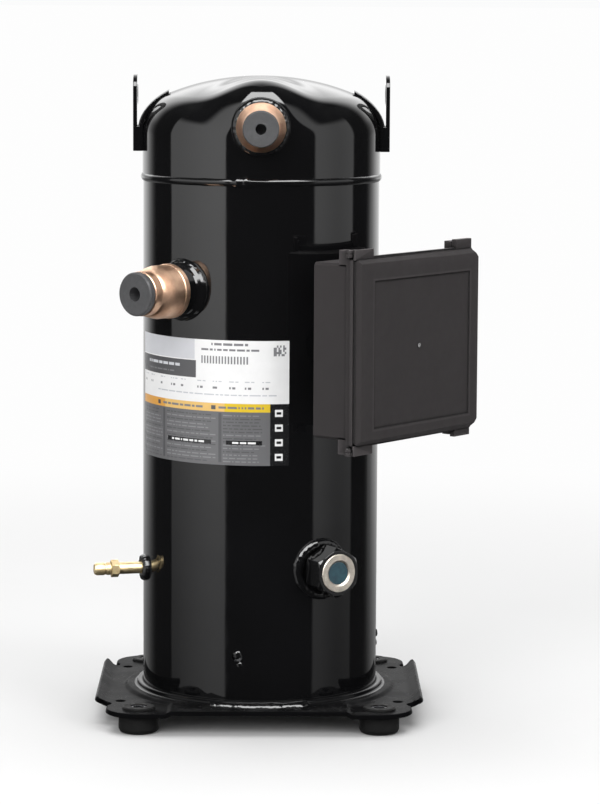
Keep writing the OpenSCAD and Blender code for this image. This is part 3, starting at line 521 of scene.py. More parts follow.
def lathe(name, section, place, slot, body="housing", sides=128, angle=35):
    """A closed section turned about the local Z of a frame."""
    points, faces = [], []
    n = len(section)
    for i in range(sides):
        a = TURN * i / sides
        for r, z in section:
            points.append(tuple(place @ Vector((r * math.cos(a), r * math.sin(a), z))))
    for i in range(sides):
        faces += join_rings(i * n, (i + 1) % sides * n, n, flip=True)
    return build(name, points, faces, slot, body, angle=angle)


def smoothstep(x):
    x = np.clip(x, 0.0, 1.0)
    return x * x * (3 - 2 * x)


# -------- top cap


# Shape of the cap, in millimetres
CROWN_A, CROWN_B = 136.0, 87.0  # half axes of the crown's ellipse
SHOULDER_R = 18.0
BLEND = 20.0  # width over which crown and boss melt together
BOSS_R = 35.8
SHRINK_FROM, SHRINK_RUN, SHRINK = -62, 74, 0.62  # the boss gets thinner from front to back
SINK_RUN, SINK = 40, 60  # behind the axis it drops below the crown
SHEET = SHELL_R - 91.25
STUB_BORE_R = 14.6
CAP_SEARCH = 150.0  # further than any point of the cap is from the middle of its rim


def cap_distance(x, y, z, boss_z, top):
    """Signed distance-like field of the top cap's outside, in millimetres.

    A crown and a horizontal boss that sinks away towards the back are blended, then both roll
    over into the round wall.
    """
    r = np.sqrt(x * x + y * y)
    q = np.clip(1 - (r / CROWN_A) ** 2, 0.02, 1)
    crown_z = top - CROWN_B * (1 - np.sqrt(q))
    slope = CROWN_B * r / (CROWN_A**2 * np.sqrt(q))
    crown = (z - crown_z) / np.sqrt(1 + slope**2)
    boss_r = BOSS_R * (1 - SHRINK * smoothstep((y - SHRINK_FROM) / SHRINK_RUN))
    boss = np.sqrt(x * x + np.maximum(z - boss_z, 0) ** 2) - boss_r
    boss = boss + SINK * smoothstep(y / SINK_RUN)
    mixing = np.maximum(BLEND - np.abs(crown - boss), 0) / BLEND
    upper = np.minimum(crown, boss) - mixing**2 * BLEND * 0.25
    wall = r - CAP_R
    a = np.maximum(upper + SHOULDER_R, 0)
    b = np.maximum(wall + SHOULDER_R, 0)
    return np.minimum(np.maximum(upper, wall), -SHOULDER_R) + np.sqrt(a * a + b * b)


def build_top_cap():
    """The drawn cap: dome, rolled shoulder and the swell that carries the discharge stub."""
    boss_z = mount_height("discharge_tube")
    low, high = (c.z for c in corners("top_cap"))
    around, up = 288, 96
    steps = np.linspace(0, 1, up + 1)
    elevation = np.radians(90 * steps**0.9)
    azimuth = np.linspace(0, TURN, around, endpoint=False)
    el, az = np.meshgrid(elevation, azimuth, indexing="ij")
    direction = (np.cos(el) * np.sin(az), -np.cos(el) * np.cos(az), np.sin(el))

    def surface(inset):
        """Where rays from the middle of the rim leave the cap, by halving the search."""
        near, far = np.zeros_like(el), np.full_like(el, CAP_SEARCH)
        for _ in range(40):
            middle = (near + far) / 2
            x, y, z = (middle * d for d in direction)
            inside = cap_distance(x, y, z + low, boss_z, high) < -inset
            near = np.where(inside, middle, near)
            far = np.where(inside, far, middle)
        return [near * d for d in direction]

    points, faces = [], []
    for inset in (0.0, SHEET):
        x, y, z = surface(inset)
        base = len(points)
        for i in range(up):
            points += [(x[i, j], y[i, j], z[i, j] + low) for j in range(around)]
        points.append((0, 0, z[up].max() + low))
        for i in range(up - 1):
            faces += join_rings(base + i * around, base + (i + 1) * around, around)
        tip, row = base + up * around, base + (up - 1) * around
        faces += [(row + j, row + (j + 1) % around, tip) for j in range(around)]
    faces += join_rings(0, up * around + 1, around, flip=True)
    cap = build("cap_skin", points, faces, "black_paint", stands_for=["top_cap"], angle=50)
    bore(cap, radial_frame(0, boss_z), STUB_BORE_R, 60, 120)


# -------- welds


def ripple(az, radius, height, seed, scale=0.09):
    """Repeatable smooth noise on a ring, in the range -1 to 1."""
    a = math.radians(az)
    spot = Vector((math.cos(a) * radius * scale, math.sin(a) * radius * scale, height * scale))
    return noise.noise(spot + Vector((seed, seed * 1.7, 0)))


def ring_bead(name, node, profile, wander, seed, az0=0, az1=360, step=1.0, extra=None):
    """A weld bead round the shell's axis: a cross-section that swells and wanders."""
    closed = az1 - az0 >= 360
    count = round((az1 - az0) / step)
    stations = count if closed else count + 1
    points, faces = [], []
    centre_r = sum(p[0] for p in profile) / len(profile)
    centre_z = sum(p[1] for p in profile) / len(profile)
    for i in range(stations):
        az = az0 + i * step
        taper = 1.0
        if not closed:
            end = min(i, count - i) * step
            taper = 0.35 + 0.65 * math.sqrt(min(1.0, end / 2.5))
        swell = 1 + wander * ripple(az, centre_r, 0, seed) + (extra(az) if extra else 0)
        drift = 0.4 * wander * ripple(az, centre_r, 5, seed + 9, 0.05)
        for j, (r, z) in enumerate(profile):
            fine = 0.25 * wander * ripple(az, centre_r, j * 3, seed + 4, 0.5)
            k = (swell + fine) * taper
            out = max(r - profile[0][0], 0) * k
            place = on_shell(az, profile[0][0] + out, centre_z + (z - centre_z) * k + drift)
            points.append(tuple(place))
    n = len(profile)
    for i in range(stations if closed else stations - 1):
        faces += join_rings(i * n, ((i + 1) % stations) * n, n)
    if not closed:
        faces += [tuple(range(n))[::-1], tuple(range((stations - 1) * n, stations * n))]
    build(name, points, faces, "weld_paint", stands_for=node, angle=60)


# Humps where the seam bead's two ends overlap: azimuth, width in degrees, share of swelling
SEAM_OVERLAP = ((-11, 1.6, 0.45), (-6.5, 2.2, 0.6), (-2, 1.2, 0.2))
BASE_BEAD_HALF = 23  # degrees from the middle of a base bead to its end


def seam_swell(az):
    """How much more the seam bead swells at an azimuth, where its ends overlap."""
    swell = 0
    for centre, width, height in SEAM_OVERLAP:
        swell += height * math.exp(-(((az - centre + 180) % 360 - 180) / width) ** 2)
    return swell


def build_seam_weld():
    """The bead between shell and cap, with the overlap of its two ends left of the front."""
    low, high = corners("cap_seam_weld")
    middle, half = (low.z + high.z) / 2, (high.z - low.z) / 2
    section = ((0, -1), (0.8, -0.75), (1.55, -0.3), (1.8, 0.1), (1.45, 0.5), (0.7, 0.95), (0, 1))
    profile = [(SHELL_R + 0.02 + out, middle + half * up) for out, up in section]
    ring_bead("seam_bead", ["cap_seam_weld"], profile, 0.10, 2.0, extra=seam_swell)


def build_base_beads():
    """Two stitch beads in the corner between the plate's collar and its raised middle."""
    low, high = corners("base_welds")
    collar_r = SHELL_R + 4.75
    section = ((-0.4, -0.3), (3.6, -0.3), (3.3, 0.9), (2.2, 2.0), (1.0, 2.9))
    profile = [(collar_r + out, low.z + up) for out, up in section]
    profile.append((collar_r - 0.4, high.z - 0.2))
    for i, (az, node) in enumerate(((0, ["base_welds"]), (180, ()))):
        ends = az - BASE_BEAD_HALF, az + BASE_BEAD_HALF
        ring_bead(f"base_bead_{i + 1}", node, profile, 0.55, 5.0 + i, *ends, step=0.5)


# Plug welds: azimuths, and height, radius and rise of each one's two drops
PLUG_AZIMUTHS = (-10.6, 90, 190)
PLUG_DROPS = ((61.6, 3.4, 1.3), (53.4, 2.4, 0.8))


def drop_bead(name, node, place, r, rise, seeds):
    """A puddled drop of weld on the shell's wall, round a frame whose Z points outwards."""
    sides, rings = 28, 7
    points, faces = [], []
    for k in range(rings):
        t = k / (rings - 1)
        for along_x, along_y in circle(1, sides):
            wobble = 1 + 0.22 * noise.noise(Vector((along_x, along_y, seeds[0])))
            x = r * t * wobble * along_x
            y = r * t * wobble * along_y
            lump = 0.3 * noise.noise(Vector((x * 0.6, y * 0.6, seeds[1])))
            height = (rise + lump) * math.sqrt(max(0.0, 1 - t * t))
            surface = math.sqrt(SHELL_R**2 - x * x)
            points.append(tuple(place @ Vector((x, y, surface + height - 0.02))))
    foot = len(points)
    points += [tuple(place @ Vector((x, y, SHELL_R - 0.8))) for x, y in circle(r * 0.8, sides)]
    for k in range(rings):
        faces += join_rings(k * sides, (k + 1) * sides, sides, flip=True)
    faces.append(tuple(range(foot, foot + sides)))
    build(name, points, faces, "weld_paint", stands_for=node)


def build_plug_beads():
    """Small puddled welds on the shell's foot, each a big drop with a smaller one below."""
    for i, az in enumerate(PLUG_AZIMUTHS):
        for j, (z, r, rise) in enumerate(PLUG_DROPS):
            node = () if i or j else ["plug_welds"]
            place = radial_frame(az + 1.1 * j, z)
            drop_bead(f"plug_bead_{i + 1}_{j + 1}", node, place, r, rise, (i + 3 * j, 7 + i))


def fitting_bead(name, node, az, z, wall_r, ring_r, width, rise, lumps, seed):
    """A lumpy weld where a round fitting of radius ring_r leaves a round wall."""
    place = radial_frame(az, z)
    sides, arc = 168, 9
    points, faces = [], []
    for i in range(sides):
        a = TURN * i / sides
        along = Vector((math.cos(a), math.sin(a), 0))
        slow = noise.noise(along * 2.2 + Vector((seed, 0, 0)))
        scale = 0.5 + 0.5 * math.sin(a * 26 + 3 * slow)
        swell = 1 + lumps * (0.6 * slow + 0.4 * noise.noise(along * 7 + Vector((0, seed, 0))))
        for j in range(arc):
            q = math.pi * j / (arc - 1)
            rough = 0.06 * noise.noise(Vector((along.x * 14, along.y * 14, j * 0.7 + seed)))
            r = ring_r + width * swell * math.cos(q)
            lift = rise * (swell - 0.10 * scale + rough) * math.sin(q)
            wall = math.sqrt(wall_r**2 - (r * along.x) ** 2)
            points.append(tuple(place @ Vector((r * along.x, r * along.y, wall + lift - 0.05))))
        for r in (ring_r - width * 0.9, ring_r + width * 0.9):
            wall = math.sqrt(wall_r**2 - (r * along.x) ** 2)
            points.append(tuple(place @ Vector((r * along.x, r * along.y, wall - 1.0))))
    n = arc + 2
    for i in range(sides):
        faces += join_rings(i * n, (i + 1) % sides * n, n)
    build(name, points, faces, "weld_paint", stands_for=node, angle=60)


def build_fitting_beads():
    """Beads round the discharge stub, the suction stub, the sight glass and the oil valve."""
    stub_z, suction_z = mount_height("discharge_tube"), mount_height("suction_tube")
    suction_az = azimuth(*mount("suction_tube")["pos_m"][:2])
    fitting_bead("discharge_bead", ["discharge_weld"], 0, stub_z, CAP_R, 19, 4.4, 4.4, 0.10, 2)
    fitting_bead("suction_bead", (), suction_az, suction_z, SHELL_R, 21.6, 3.0, 4.4, 0.28, 5)
    for name, node, size in (
        ("sight_bead", "sight_glass_weld", (20.6, 4.2, 3.6, 0.24)),
        ("valve_bead", "oil_valve_weld", (7.6, 3.2, 4.8, 0.22)),
    ):
        low, high = corners(node)
        middle = (low + high) / 2
        az, z = azimuth(middle.x, middle.y), (low.z + high.z) / 2
        fitting_bead(name, [node], az, z, SHELL_R, *size, 8)


# -------- rating label


class Print:
    """Rectangles of ink on the label, painted in order, in degrees of azimuth and mm of height."""

    COLUMN = 0.75

    def __init__(self, az, z):
        self.rows, self.areas = set(z), []
        steps = round((az[1] - az[0]) / self.COLUMN)
        columns = {az[0] + (az[1] - az[0]) * i / steps for i in range(steps + 1)}
        self.columns = sorted(columns | set(az))

    def near(self, az):
        return min(self.columns, key=lambda c: abs(c - az))

    def paint(self, az0, az1, z0, z1, ink):
        az0, az1 = self.near(az0), self.near(az1)
        self.rows |= {z0, z1}
        self.areas.append((az0, az1, z0, z1, ink))

    def words(self, az0, az1, z, height, ink, random, longest=5):
        """A row of bars with gaps, where a real plate has a line of print."""
        at = az0
        while at < az1 - self.COLUMN:
            run = self.COLUMN * random.integers(1, longest + 1)
            self.paint(at, min(at + run, az1), z, z + height, ink)
            at += run + self.COLUMN

    def ink_at(self, az, z):
        """The ink painted last over a place, or the bare film."""
        for az0, az1, z0, z1, ink in reversed(self.areas):
            if az0 < az < az1 and z0 < z < z1:
                return ink
        return "label_film"


def build_label():
    """The rating plate: blocks, bands and rows of bars only, with no lettering or marks."""
    z0, z1 = (c.z for c in corners("data_label"))
    turns = [azimuth(v.co.x, v.co.y) for v in NODES["data_label"].data.vertices]
    az0, az1 = min(turns), max(turns)
    sheet = Print((az0, az1), (z0, z1))
    random = np.random.default_rng(11)
    split = 4.6  # azimuth where the dark column begins
    band = (z0 + 42.2, z0 + 48.8)

    # upper part, on white
    sheet.paint(az0, -32.5, z1 - 16, z1, "ink_faint")
    sheet.paint(az0, -32, z1 - 30.5, z1 - 16.8, "ink_slate")
    sheet.words(-68, -42, z1 - 22.4, 2.2, "ink_faint", random, 8)
    sheet.words(-68, -45, z1 - 27.2, 1.1, "ink_mid", random, 6)
    sheet.words(-24, -6, z1 - 4.2, 1.9, "ink_mid", random, 6)
    sheet.words(-29, 0, z1 - 8.4, 1.6, "ink_mid", random, 5)
    for az in np.arange(-29, -6, 2 * sheet.COLUMN):
        sheet.paint(az, az + sheet.COLUMN, z1 - 18.6, z1 - 12.6, "ink_mid")
    for i in range(5):
        top = z1 - 3.5 - 1.7 * i
        for az in np.arange(6, 12, sheet.COLUMN):
            if random.random() < 0.55:
                sheet.paint(az, az + sheet.COLUMN, z1 - 5.2 - 1.7 * i, top, "ink_mid")
    for az in (-74, -66, -56, -48, -41, -31, -23, -15, -7, 1):
        sheet.words(az, az + 4.5, z1 - 33.0, 0.8, "ink_pale", random, 3)
        sheet.words(az, az + 3.0, z1 - 38.4, 1.7, "ink_mid", random, 3)
    sheet.words(-58, 8, z1 - 43.5, 0.9, "ink_pale", random, 7)

    # coloured band
    sheet.paint(az0, -52, *band, "ink_orange")
    sheet.paint(-52, -17, *band, "ink_amber")
    sheet.paint(-17, split, *band, "ink_yellow")
    for az in (-58, -24):
        sheet.paint(az, az + 2.25, band[0] + 1.6, band[0] + 4.8, "ink_slate")
    sheet.words(-54, -28, band[0] + 2.4, 1.7, "ink_mid", random, 6)
    sheet.words(-20, 2, band[0] + 2.4, 1.7, "ink_mid", random, 6)

    # lower part, on grey
    sheet.paint(az0, split, z0, band[0], "ink_panel")
    for left, right in ((az0 + 2, -54), (-50.5, -21), (-18, 2.5)):
        for i in range(15):
            z = band[0] - 3.4 - 2.6 * i
            if z > z0 + 1.2:
                ink = "ink_soft" if random.random() < 0.45 else "ink_slate"
                sheet.words(left, right - random.random() * 5, z, 0.9, ink, random, 6)
    for az in (-53.5, -20):
        sheet.paint(az, az + 1.5, z0 + 2, band[0] - 1, "ink_slate")
    for left, right in ((-50, -24), (-16, 1)):
        sheet.paint(left, right, z0 + 16.2, z0 + 19.6, "ink_black")
        sheet.words(left + 3, right - 3, z0 + 17.1, 1.5, "label_film", random, 5)

    # dark column with four plain marks
    sheet.paint(split, az1, z0, band[1], "ink_black")
    for i in range(4):
        top = band[1] - 4.5 - 11.6 * i
        sheet.paint(7.2, 10.9, top - 5.6, top, "label_film")
        sheet.paint(8.0, 10.1, top - 3.8, top - 1.8, "ink_black")

    build_printed_sheet(sheet)


def build_printed_sheet(sheet):
    """The label as one thin curved sheet whose front faces carry the inks."""
    columns, rows = sheet.columns, sorted(sheet.rows)
    inks = ["label_film", "ink_faint", "ink_pale", "ink_soft", "ink_mid", "ink_panel", "ink_slate"]
    inks += ["ink_black", "ink_yellow", "ink_amber", "ink_orange"]
    points = []
    for radius in (SHELL_R + 0.17, SHELL_R + 0.03):
        points += [tuple(on_shell(az, radius, z)) for z in rows for az in columns]
    n, back = len(columns), len(columns) * len(rows)
    cells = [(j, i) for j in range(len(rows) - 1) for i in range(n - 1)]
    faces = [(a, a + 1, a + n + 1, a + n) for a in (j * n + i for j, i in cells)]
    chosen = []
    for j, i in cells:
        ink = sheet.ink_at((columns[i] + columns[i + 1]) / 2, (rows[j] + rows[j + 1]) / 2)
        chosen.append(inks.index(ink))
    rim = list(range(n)) + [j * n + n - 1 for j in range(1, len(rows))]
    rim += [(len(rows) - 1) * n + i for i in range(n - 2, -1, -1)]
    rim += [j * n for j in range(len(rows) - 2, 0, -1)]
    faces += [(a, back + a, back + b, b) for a, b in zip(rim, rim[1:] + rim[:1])]
    faces += [(a, a + n, a + n + 1, a + 1) for a in (back + j * n + i for j, i in cells)]
    chosen += [0] * (len(faces) - len(chosen))
    build("rating_plate", points, faces, inks, stands_for=["data_label"], face_slots=chosen)


def build_gate_mark():
    """The small pale moulding mark in the middle of the terminal box's cover."""
    cover, box_az = "terminal_box_cover", box_azimuth()
    face = reach(cover, box_az)[1]
    low, high = corners(cover)
    middle = sum(reach(cover, box_az + 90)) / 2
    aside = Matrix.Translation(outward(box_az + 90) * middle)
    place = aside @ radial_frame(box_az, (low.z + high.z) / 2)
    section = ((0.01, 1.1), (1.7, 1.1), (1.7, 0.35), (1.3, 0.1), (0.7, 0.02), (0.01, 0.02))
    section = [(r, face - depth) for r, depth in section]
    lathe("cover_gate_mark", section, place, "gate_plastic", body="box_cover", sides=40)


# -------- base plate


# The pressed plate, in millimetres
EAR_Y = corners("base_plate")[1].y
EAR_X, EAR_R = 121.0, 24.0
PLATE_SHEET = 4.0
PLATE_TOP = 18.5
PLATFORM_RISE, PLATFORM_SLOPE = 2.5, 2.2  # the raised middle: its height, half its slope's width
DISC_R, STRIP_HALF, PLATFORM_HALF = 109, 71, 114  # a disc and a strip make its outline
WING_X, WING_BEND_R, WING_TILT = 119.5, 6.0, math.radians(38)
SHELL_HOLE_R, BOLT_HOLE_R = 100.2, 11.0
SMALL_HOLE_X, SMALL_HOLE_Y, SMALL_HOLE_R = 111, 67, 3.8
GRID = 2.6  # spacing of the plate's mesh


def plate_outline():
    """The flat pattern of the plate: four round ears, two side wings and the scoops between."""
    quarter = [(130.9, 0.0)]
    quarter += [(130.9, y) for y in np.arange(4, 74, 3.5)]
    quarter += [(130.6, 75.6), (129.6, 77.2), (128.2, 77.4), (126.9, 76.4), (125.6, 74.9)]
    quarter += [(124.2, 73.4), (122.7, 72.3), (121.0, 72.0), (119.3, 72.8), (118.2, 74.6)]
    quarter += [(118.0, 77.0), (118.4, 79.4), (119.4, 81.4), (120.6, 83.2), (EAR_X, 85.6)]
    for i in range(13):
        a = math.radians(90 * i / 12)
        quarter.append((EAR_X - EAR_R + EAR_R * math.cos(a), EAR_Y - EAR_R + EAR_R * math.sin(a)))
    quarter += [(x, EAR_Y) for x in np.arange(92, 2, -4.6)]
    upper = quarter + [(-x, y) for x, y in reversed(quarter)]
    lower = [(-x, -y) for x, y in upper[1:-1]]
    return upper + lower


def platform_depth(x, y):
    """How far inside the raised middle of the plate a point is, in millimetres."""
    disc = DISC_R - math.hypot(x, y)
    strip = STRIP_HALF - abs(x)
    return min(max(disc, strip), PLATFORM_HALF - abs(x))


def platform_line(depth):
    """Points along the raised middle's edge at one depth, for one quarter of the plate."""
    r, x_end = DISC_R - depth, STRIP_HALF - depth
    turn = math.acos(x_end / r)
    steps = math.ceil(r * turn / GRID)
    turns = [turn * i / steps for i in range(steps + 1)]
    line = [(r * math.cos(a), r * math.sin(a)) for a in turns]
    y = line[-1][1]
    while y < EAR_Y - 3.4:
        y += GRID
        line.append((x_end, y))
    return line


def plate_top_point(x, y):
    """A point of the flat pattern on the top of the pressed plate, and the normal there."""
    lift = smoothstep((platform_depth(x, y) + PLATFORM_SLOPE) / (2 * PLATFORM_SLOPE))
    z = PLATE_TOP + PLATFORM_RISE * float(lift)
    past_bend = abs(x) - WING_X
    if past_bend <= 0:
        return Vector((x, y, z)), Vector((0, 0, 1))
    side = math.copysign(1, x)
    a = min(past_bend / WING_BEND_R, WING_TILT)
    run = max(0.0, past_bend - WING_BEND_R * WING_TILT)
    out = WING_X + WING_BEND_R * math.sin(a) + run * math.cos(a)
    up = z + WING_BEND_R * (1 - math.cos(a)) + run * math.sin(a)
    return Vector((side * out, y, up)), Vector((-side * math.sin(a), 0, math.cos(a)))


def plate_holes():
    """Centre, radius and number of sides of each round hole in the plate."""
    bolt = mount("base_bolts")["dims"]["spacing_x_mm"] / 2
    holes = [(0, 0, SHELL_HOLE_R, 180)]
    for x in (-1, 1):
        for y in (-1, 1):
            holes.append((x * bolt, y * bolt, BOLT_HOLE_R, 40))
            holes.append((x * SMALL_HOLE_X, y * SMALL_HOLE_Y, SMALL_HOLE_R, 24))
    return holes


def plate_triangles(outline, holes):
    """The flat pattern's points and its triangles, finest along the raised middle's edge."""
    points, edges = [], []

    def draw(line, closed):
        base, n = len(points), len(line)
        points.extend(Vector(p) for p in line)
        edges.extend((base + i, base + (i + 1) % n) for i in range(n if closed else n - 1))

    for loop in [outline] + [circle(r, sides, x, y) for x, y, r, sides in holes]:
        draw(loop, True)
    for depth in (-2.2, -1.5, -0.8, 0.0, 0.8, 1.5, 2.2):
        for sx, sy in ((1, 1), (-1, 1), (-1, -1), (1, -1)):
            draw([(sx * x, sy * y) for x, y in platform_line(depth)], False)
    fixed = np.array([tuple(p) for p in points])
    for x in np.arange(-132, 132, GRID):
        for y in np.arange(-114, 114, GRID):
            gap = np.hypot(fixed[:, 0] - x, fixed[:, 1] - y).min()
            if gap > GRID * 0.6 and math.hypot(x, y) > SHELL_HOLE_R + 0.8:
                points.append(Vector((x, y)))
    flat, _, triangles, *_ = geometry.delaunay_2d_cdt(points, edges, [], 0, 1e-4)
    x0, y0 = np.array(outline).T
    x1, y1 = np.roll(x0, -1), np.roll(y0, -1)

    def on_plate(x, y):
        """Whether a place is inside the outline and outside every hole."""
        crosses = (y0 > y) != (y1 > y)
        at = x0 + (y - y0) * (x1 - x0) / np.where(crosses, y1 - y0, 1)
        inside = np.count_nonzero(crosses & (x < at)) % 2 == 1
        return inside and all(math.hypot(x - hx, y - hy) > r - 0.1 for hx, hy, r, _ in holes)

    kept = []
    for t in triangles:
        if on_plate(sum(flat[i].x for i in t) / 3, sum(flat[i].y for i in t) / 3):
            kept.append(t)
    return flat, kept


def build_base_plate():
    """The pressed plate with its raised middle, ears, upturned wings and rolled collar."""
    flat, kept = plate_triangles(plate_outline(), plate_holes())
    used = sorted({i for t in kept for i in t})
    number = {old: new for new, old in enumerate(used)}
    top, bottom = [], []
    for i in used:
        place, normal = plate_top_point(flat[i].x, flat[i].y)
        top.append(tuple(place))
        bottom.append(tuple(place - normal * PLATE_SHEET))
    n = len(top)
    faces = [tuple(number[i] for i in t) for t in kept]
    sides = dict.fromkeys((a, b) for t in faces for a, b in zip(t, t[1:] + t[:1]))
    walls = [(b, a, a + n, b + n) for a, b in sides if (b, a) not in sides]
    faces += [tuple(i + n for i in reversed(t)) for t in faces] + walls
    plate = build(
        "base_pressing", top + bottom, faces, "plate_paint", stands_for=["base_plate"], angle=40
    )
    round_edges(plate, 0.6, 2, 60)
    section = [(95.5, 15.0), (95.5, 23.8), (96.0, 24.4), (96.7, 24.6), (98.6, 24.6), (99.4, 24.3)]
    section += [(99.9, 23.6), (100.1, 22.6), (100.4, 21.8), (101.2, 21.2), (102.4, 21.05)]
    section += [(102.4, 17.0), (101.0, 16.6), (SHELL_HOLE_R, 15.0)]
    lathe("plate_collar", section, Matrix.Identity(4), "collar_paint", sides=240)


# -------- scene, light and camera


FLOOR_HALF = 400.0
FLOOR_FADE = (0.30, 1.4)  # metres from the object over which the floor turns plain white


def build_stage():
    """A plain pale floor that runs out of sight."""
    mesh = bpy.data.meshes.new("floor")
    ends = [(x * FLOOR_HALF, y * FLOOR_HALF, 0) for x, y in ((-1, -1), (1, -1), (1, 1), (-1, 1))]
    mesh.from_pydata(ends, [], [(0, 1, 2, 3)])
    s = Shader("floor_white")
    away = s.node("ShaderNodeVectorMath", {0: s.place}, operation="LENGTH").outputs["Value"]
    far = s.span(away, *FLOOR_FADE, 0.0, 1.0)
    near = s.mix(s.noise(3), grey(0.77), grey(0.80))
    s.set(
        Base_Color=s.mix(far, near, grey(0.0)),
        Roughness=0.9,
        Specular_IOR_Level=0.0,
        Emission_Color=grey(0.985),
        Emission_Strength=far,
    )
    mesh.materials.append(s.material)
    floor = bpy.data.objects.new("floor", mesh)
    floor.visible_glossy = False
    bpy.context.scene.collection.objects.link(floor)


class Sky:
    """The world's node tree, with short calls for maths on azimuth and elevation in degrees."""

    def __init__(self, name):
        self.world = bpy.data.worlds.new(name)
        self.world.use_nodes = True
        self.tree = self.world.node_tree
        self.tree.nodes.clear()
        direction = self.node("ShaderNodeTexCoord").outputs["Generated"]
        axes = self.node("ShaderNodeSeparateXYZ", {"Vector": direction}).outputs
        turn = self.calc("ARCTAN2", axes["X"], self.calc("MULTIPLY", axes["Y"], -1.0))
        self.az = self.calc("MULTIPLY", turn, DEGREES)
        self.el = self.calc("MULTIPLY", self.calc("ARCSINE", axes["Z"]), DEGREES)

    node, feed = Shader.node, Shader.feed
    calc, step = Shader.math, Shader.span

    def times(self, left, right):
        return self.calc("MULTIPLY", left, right)

    def box(self, az0, az1, az_soft, el0, el1, el_soft):
        """1 in a soft-edged rectangle of the sky, 0 outside."""
        sides = []
        for value, low, high, soft in ((self.az, az0, az1, az_soft), (self.el, el0, el1, el_soft)):
            rising = self.step(value, low - soft, low + soft, 0.0, 1.0)
            falling = self.step(value, high - soft, high + soft, 1.0, 0.0)
            sides.append(self.times(rising, falling))
        return self.times(*sides)


DEGREES = 57.29578
REAR = (122, 150)  # azimuths over which the front's dark turns into the rear's white
BELOW = (-13, -2)  # elevations over which the side boxes fade towards the floor
DARK = 0.03


def build_world():
    """Studio surroundings: white behind, dark in front, soft boxes at the sides and above.

    Only mirror reflections see them. Diffuse light gets an even grey, the camera a backdrop.
    """
    w = Sky("studio")
    bpy.context.scene.world = w.world
    az, el = w.az, w.el
    rear = w.step(w.calc("ABSOLUTE", az), *REAR, 0.0, 1.0)
    floor = w.times(w.step(el, -12.5, -2.5, 0.26, 1.25), w.step(el, -2, 4, 1.0, 0.0))
    horizon = w.times(w.step(el, -2, 4, 0.0, 1.0), w.step(el, 14, 24, 1.0, 0.0))
    high = w.times(w.step(el, 8, 24, 0.0, 1.0), w.step(el, 36, 100, 1.0, 0.0))
    behind = w.calc("ADD", floor, w.times(horizon, 0.9))
    behind = w.calc("ADD", behind, w.times(high, 2.5))
    total = w.times(rear, behind)
    left_fade = w.step(az, -112, -38, w.step(el, *BELOW, 0.2, 0.5), 1.0)
    left = w.times(w.step(el, *BELOW, 0.38, 1.0), left_fade)
    right_fade = w.step(az, 54, 84, 1.25, w.step(el, *BELOW, 0.6, 0.9))
    right = w.times(w.step(el, *BELOW, 0.3, 1.0), right_fade)
    boxes = (
        (w.times(w.box(-97, -34, 1.0, -40, 28, 5), left), 1.95),
        (w.times(w.box(53, 100, 1.5, -40, 28, 5), right), 1.0),
        (w.box(-44, 52, 1.5, 27, 60, 2.5), 13.0),
    )
    for shape, power in boxes:
        total = w.calc("ADD", total, w.times(shape, power))
    total = w.calc("ADD", total, DARK)

    def light(colour, strength):
        inputs = {"Color": colour, "Strength": strength}
        return w.node("ShaderNodeBackground", inputs).outputs[0]

    path = w.node("ShaderNodeLightPath").outputs
    lit = {0: path["Is Glossy Ray"], 1: light(grey(1.0), 0.25), 2: light(grey(1.0), total)}
    lit = w.node("ShaderNodeMixShader", lit).outputs[0]
    seen = {0: path["Is Camera Ray"], 1: lit, 2: light((0.965, 0.968, 0.97, 1), 1.0)}
    seen = w.node("ShaderNodeMixShader", seen).outputs[0]
    w.node("ShaderNodeOutputWorld", {"Surface": seen})
    w.world.cycles.sampling_method = "NONE"


def area_light(name, place, target, size, power):
    """A soft rectangular light that mirror reflections don't see."""
    data = bpy.data.lights.new(name, "AREA")
    data.shape = "RECTANGLE"
    data.size, data.size_y = size
    data.energy = power
    light = bpy.data.objects.new(name, data)
    light.location = place
    light.rotation_mode = "QUATERNION"
    aim = Vector(target) - Vector(place)
    light.rotation_quaternion = aim.to_track_quat("-Z", "Y")
    light.visible_glossy = False
    bpy.context.scene.collection.objects.link(light)


def build_lights():
    """Soft fill from the front and the right, and a broad light overhead."""
    middle = (0, 0, 0.25)
    area_light("front_fill", (-0.9, -2.4, 1.5), middle, (2.2, 1.6), 48)
    area_light("right_fill", (1.8, -1.6, 1.1), middle, (1.2, 1.6), 20)
    area_light("overhead", (0.0, 0.2, 2.4), (0, 0, 0), (2.6, 2.6), 58)


CAMERA_PLACE = (0.00969, -2.61714, 0.57831)
CAMERA_TURN = (0.00854, 0.12411, 0.0052)  # yaw, pitch downwards and roll in radians
CAMERA_LENS = 145.34  # millimetres, on a sensor of 36


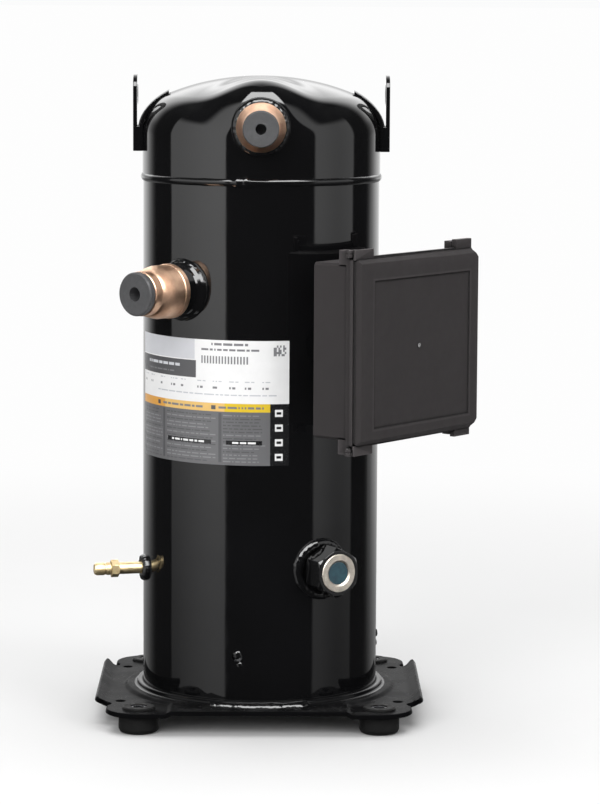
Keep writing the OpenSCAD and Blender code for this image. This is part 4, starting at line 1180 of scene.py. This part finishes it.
def build_camera():
    """A long lens a little above the cap's crown, looking slightly down."""
    data = bpy.data.cameras.new("camera")
    data.sensor_width = 36.0
    data.lens = CAMERA_LENS
    data.clip_start, data.clip_end = 0.1, 200
    camera = bpy.data.objects.new("camera", data)
    yaw, pitch, roll = CAMERA_TURN
    ahead = Vector(
        (math.sin(yaw) * math.cos(pitch), math.cos(yaw) * math.cos(pitch), -math.sin(pitch))
    )
    right = Vector((math.cos(yaw), -math.sin(yaw), 0))
    up = right.cross(ahead)
    side = math.cos(roll) * right + math.sin(roll) * up
    top = -math.sin(roll) * right + math.cos(roll) * up
    turn = Matrix((side, top, -ahead)).transposed().to_4x4()
    camera.matrix_world = Matrix.Translation(CAMERA_PLACE) @ turn
    bpy.context.scene.collection.objects.link(camera)
    bpy.context.scene.camera = camera


# -------- assembly


# Radius in millimetres of the rounded edges of the CAD nodes that are seen from outside
EDGE_RADIUS = {
    "terminal_box_base": 0.45,
    "terminal_box_cover": 0.45,
    "lifting_lugs": 0.6,
    "sight_glass_nut": 0.5,
    "oil_valve_body": 0.25,
    "oil_valve_cap": 0.3,
    "discharge_stub": 0.25,
    "suction_stub": 0.25,
}


def dress_cad_nodes():
    """Gives every CAD node its material and smooth shading, and those in EDGE_RADIUS a small edge
    radius.
    """
    slots = {part["node"]: part["material_slot"] for part in RECORD["subparts"]}
    slots["terminal_box_cover"] = "cover_plastic"
    for name, obj in NODES.items():
        obj.data.materials.clear()
        obj.data.materials.append(MATERIALS[slots[name]])
        if name in EDGE_RADIUS:
            soften(obj, EDGE_RADIUS[name])
        else:
            shade(obj, 30)


def soften(obj, radius):
    """Rounds the sharp edges of a CAD node with modifiers, and leaves its mesh alone."""
    obj.data.shade_smooth()
    weld = obj.modifiers.new("weld", "WELD")
    weld.merge_threshold = 1e-6
    flat = obj.modifiers.new("flat", "DECIMATE")
    flat.decimate_type = "DISSOLVE"
    flat.angle_limit = math.radians(0.4)
    round_edges(obj, radius, 3, 34)
    normals = obj.modifiers.new("normals", "WEIGHTED_NORMAL")
    normals.keep_sharp = True


dress_cad_nodes()
build_top_cap()
build_seam_weld()
build_base_plate()
build_base_beads()
build_plug_beads()
build_fitting_beads()
build_gate_mark()
build_label()
build_stage()
build_world()
build_lights()
build_camera()

bpy.context.scene.view_settings.view_transform = "Standard"
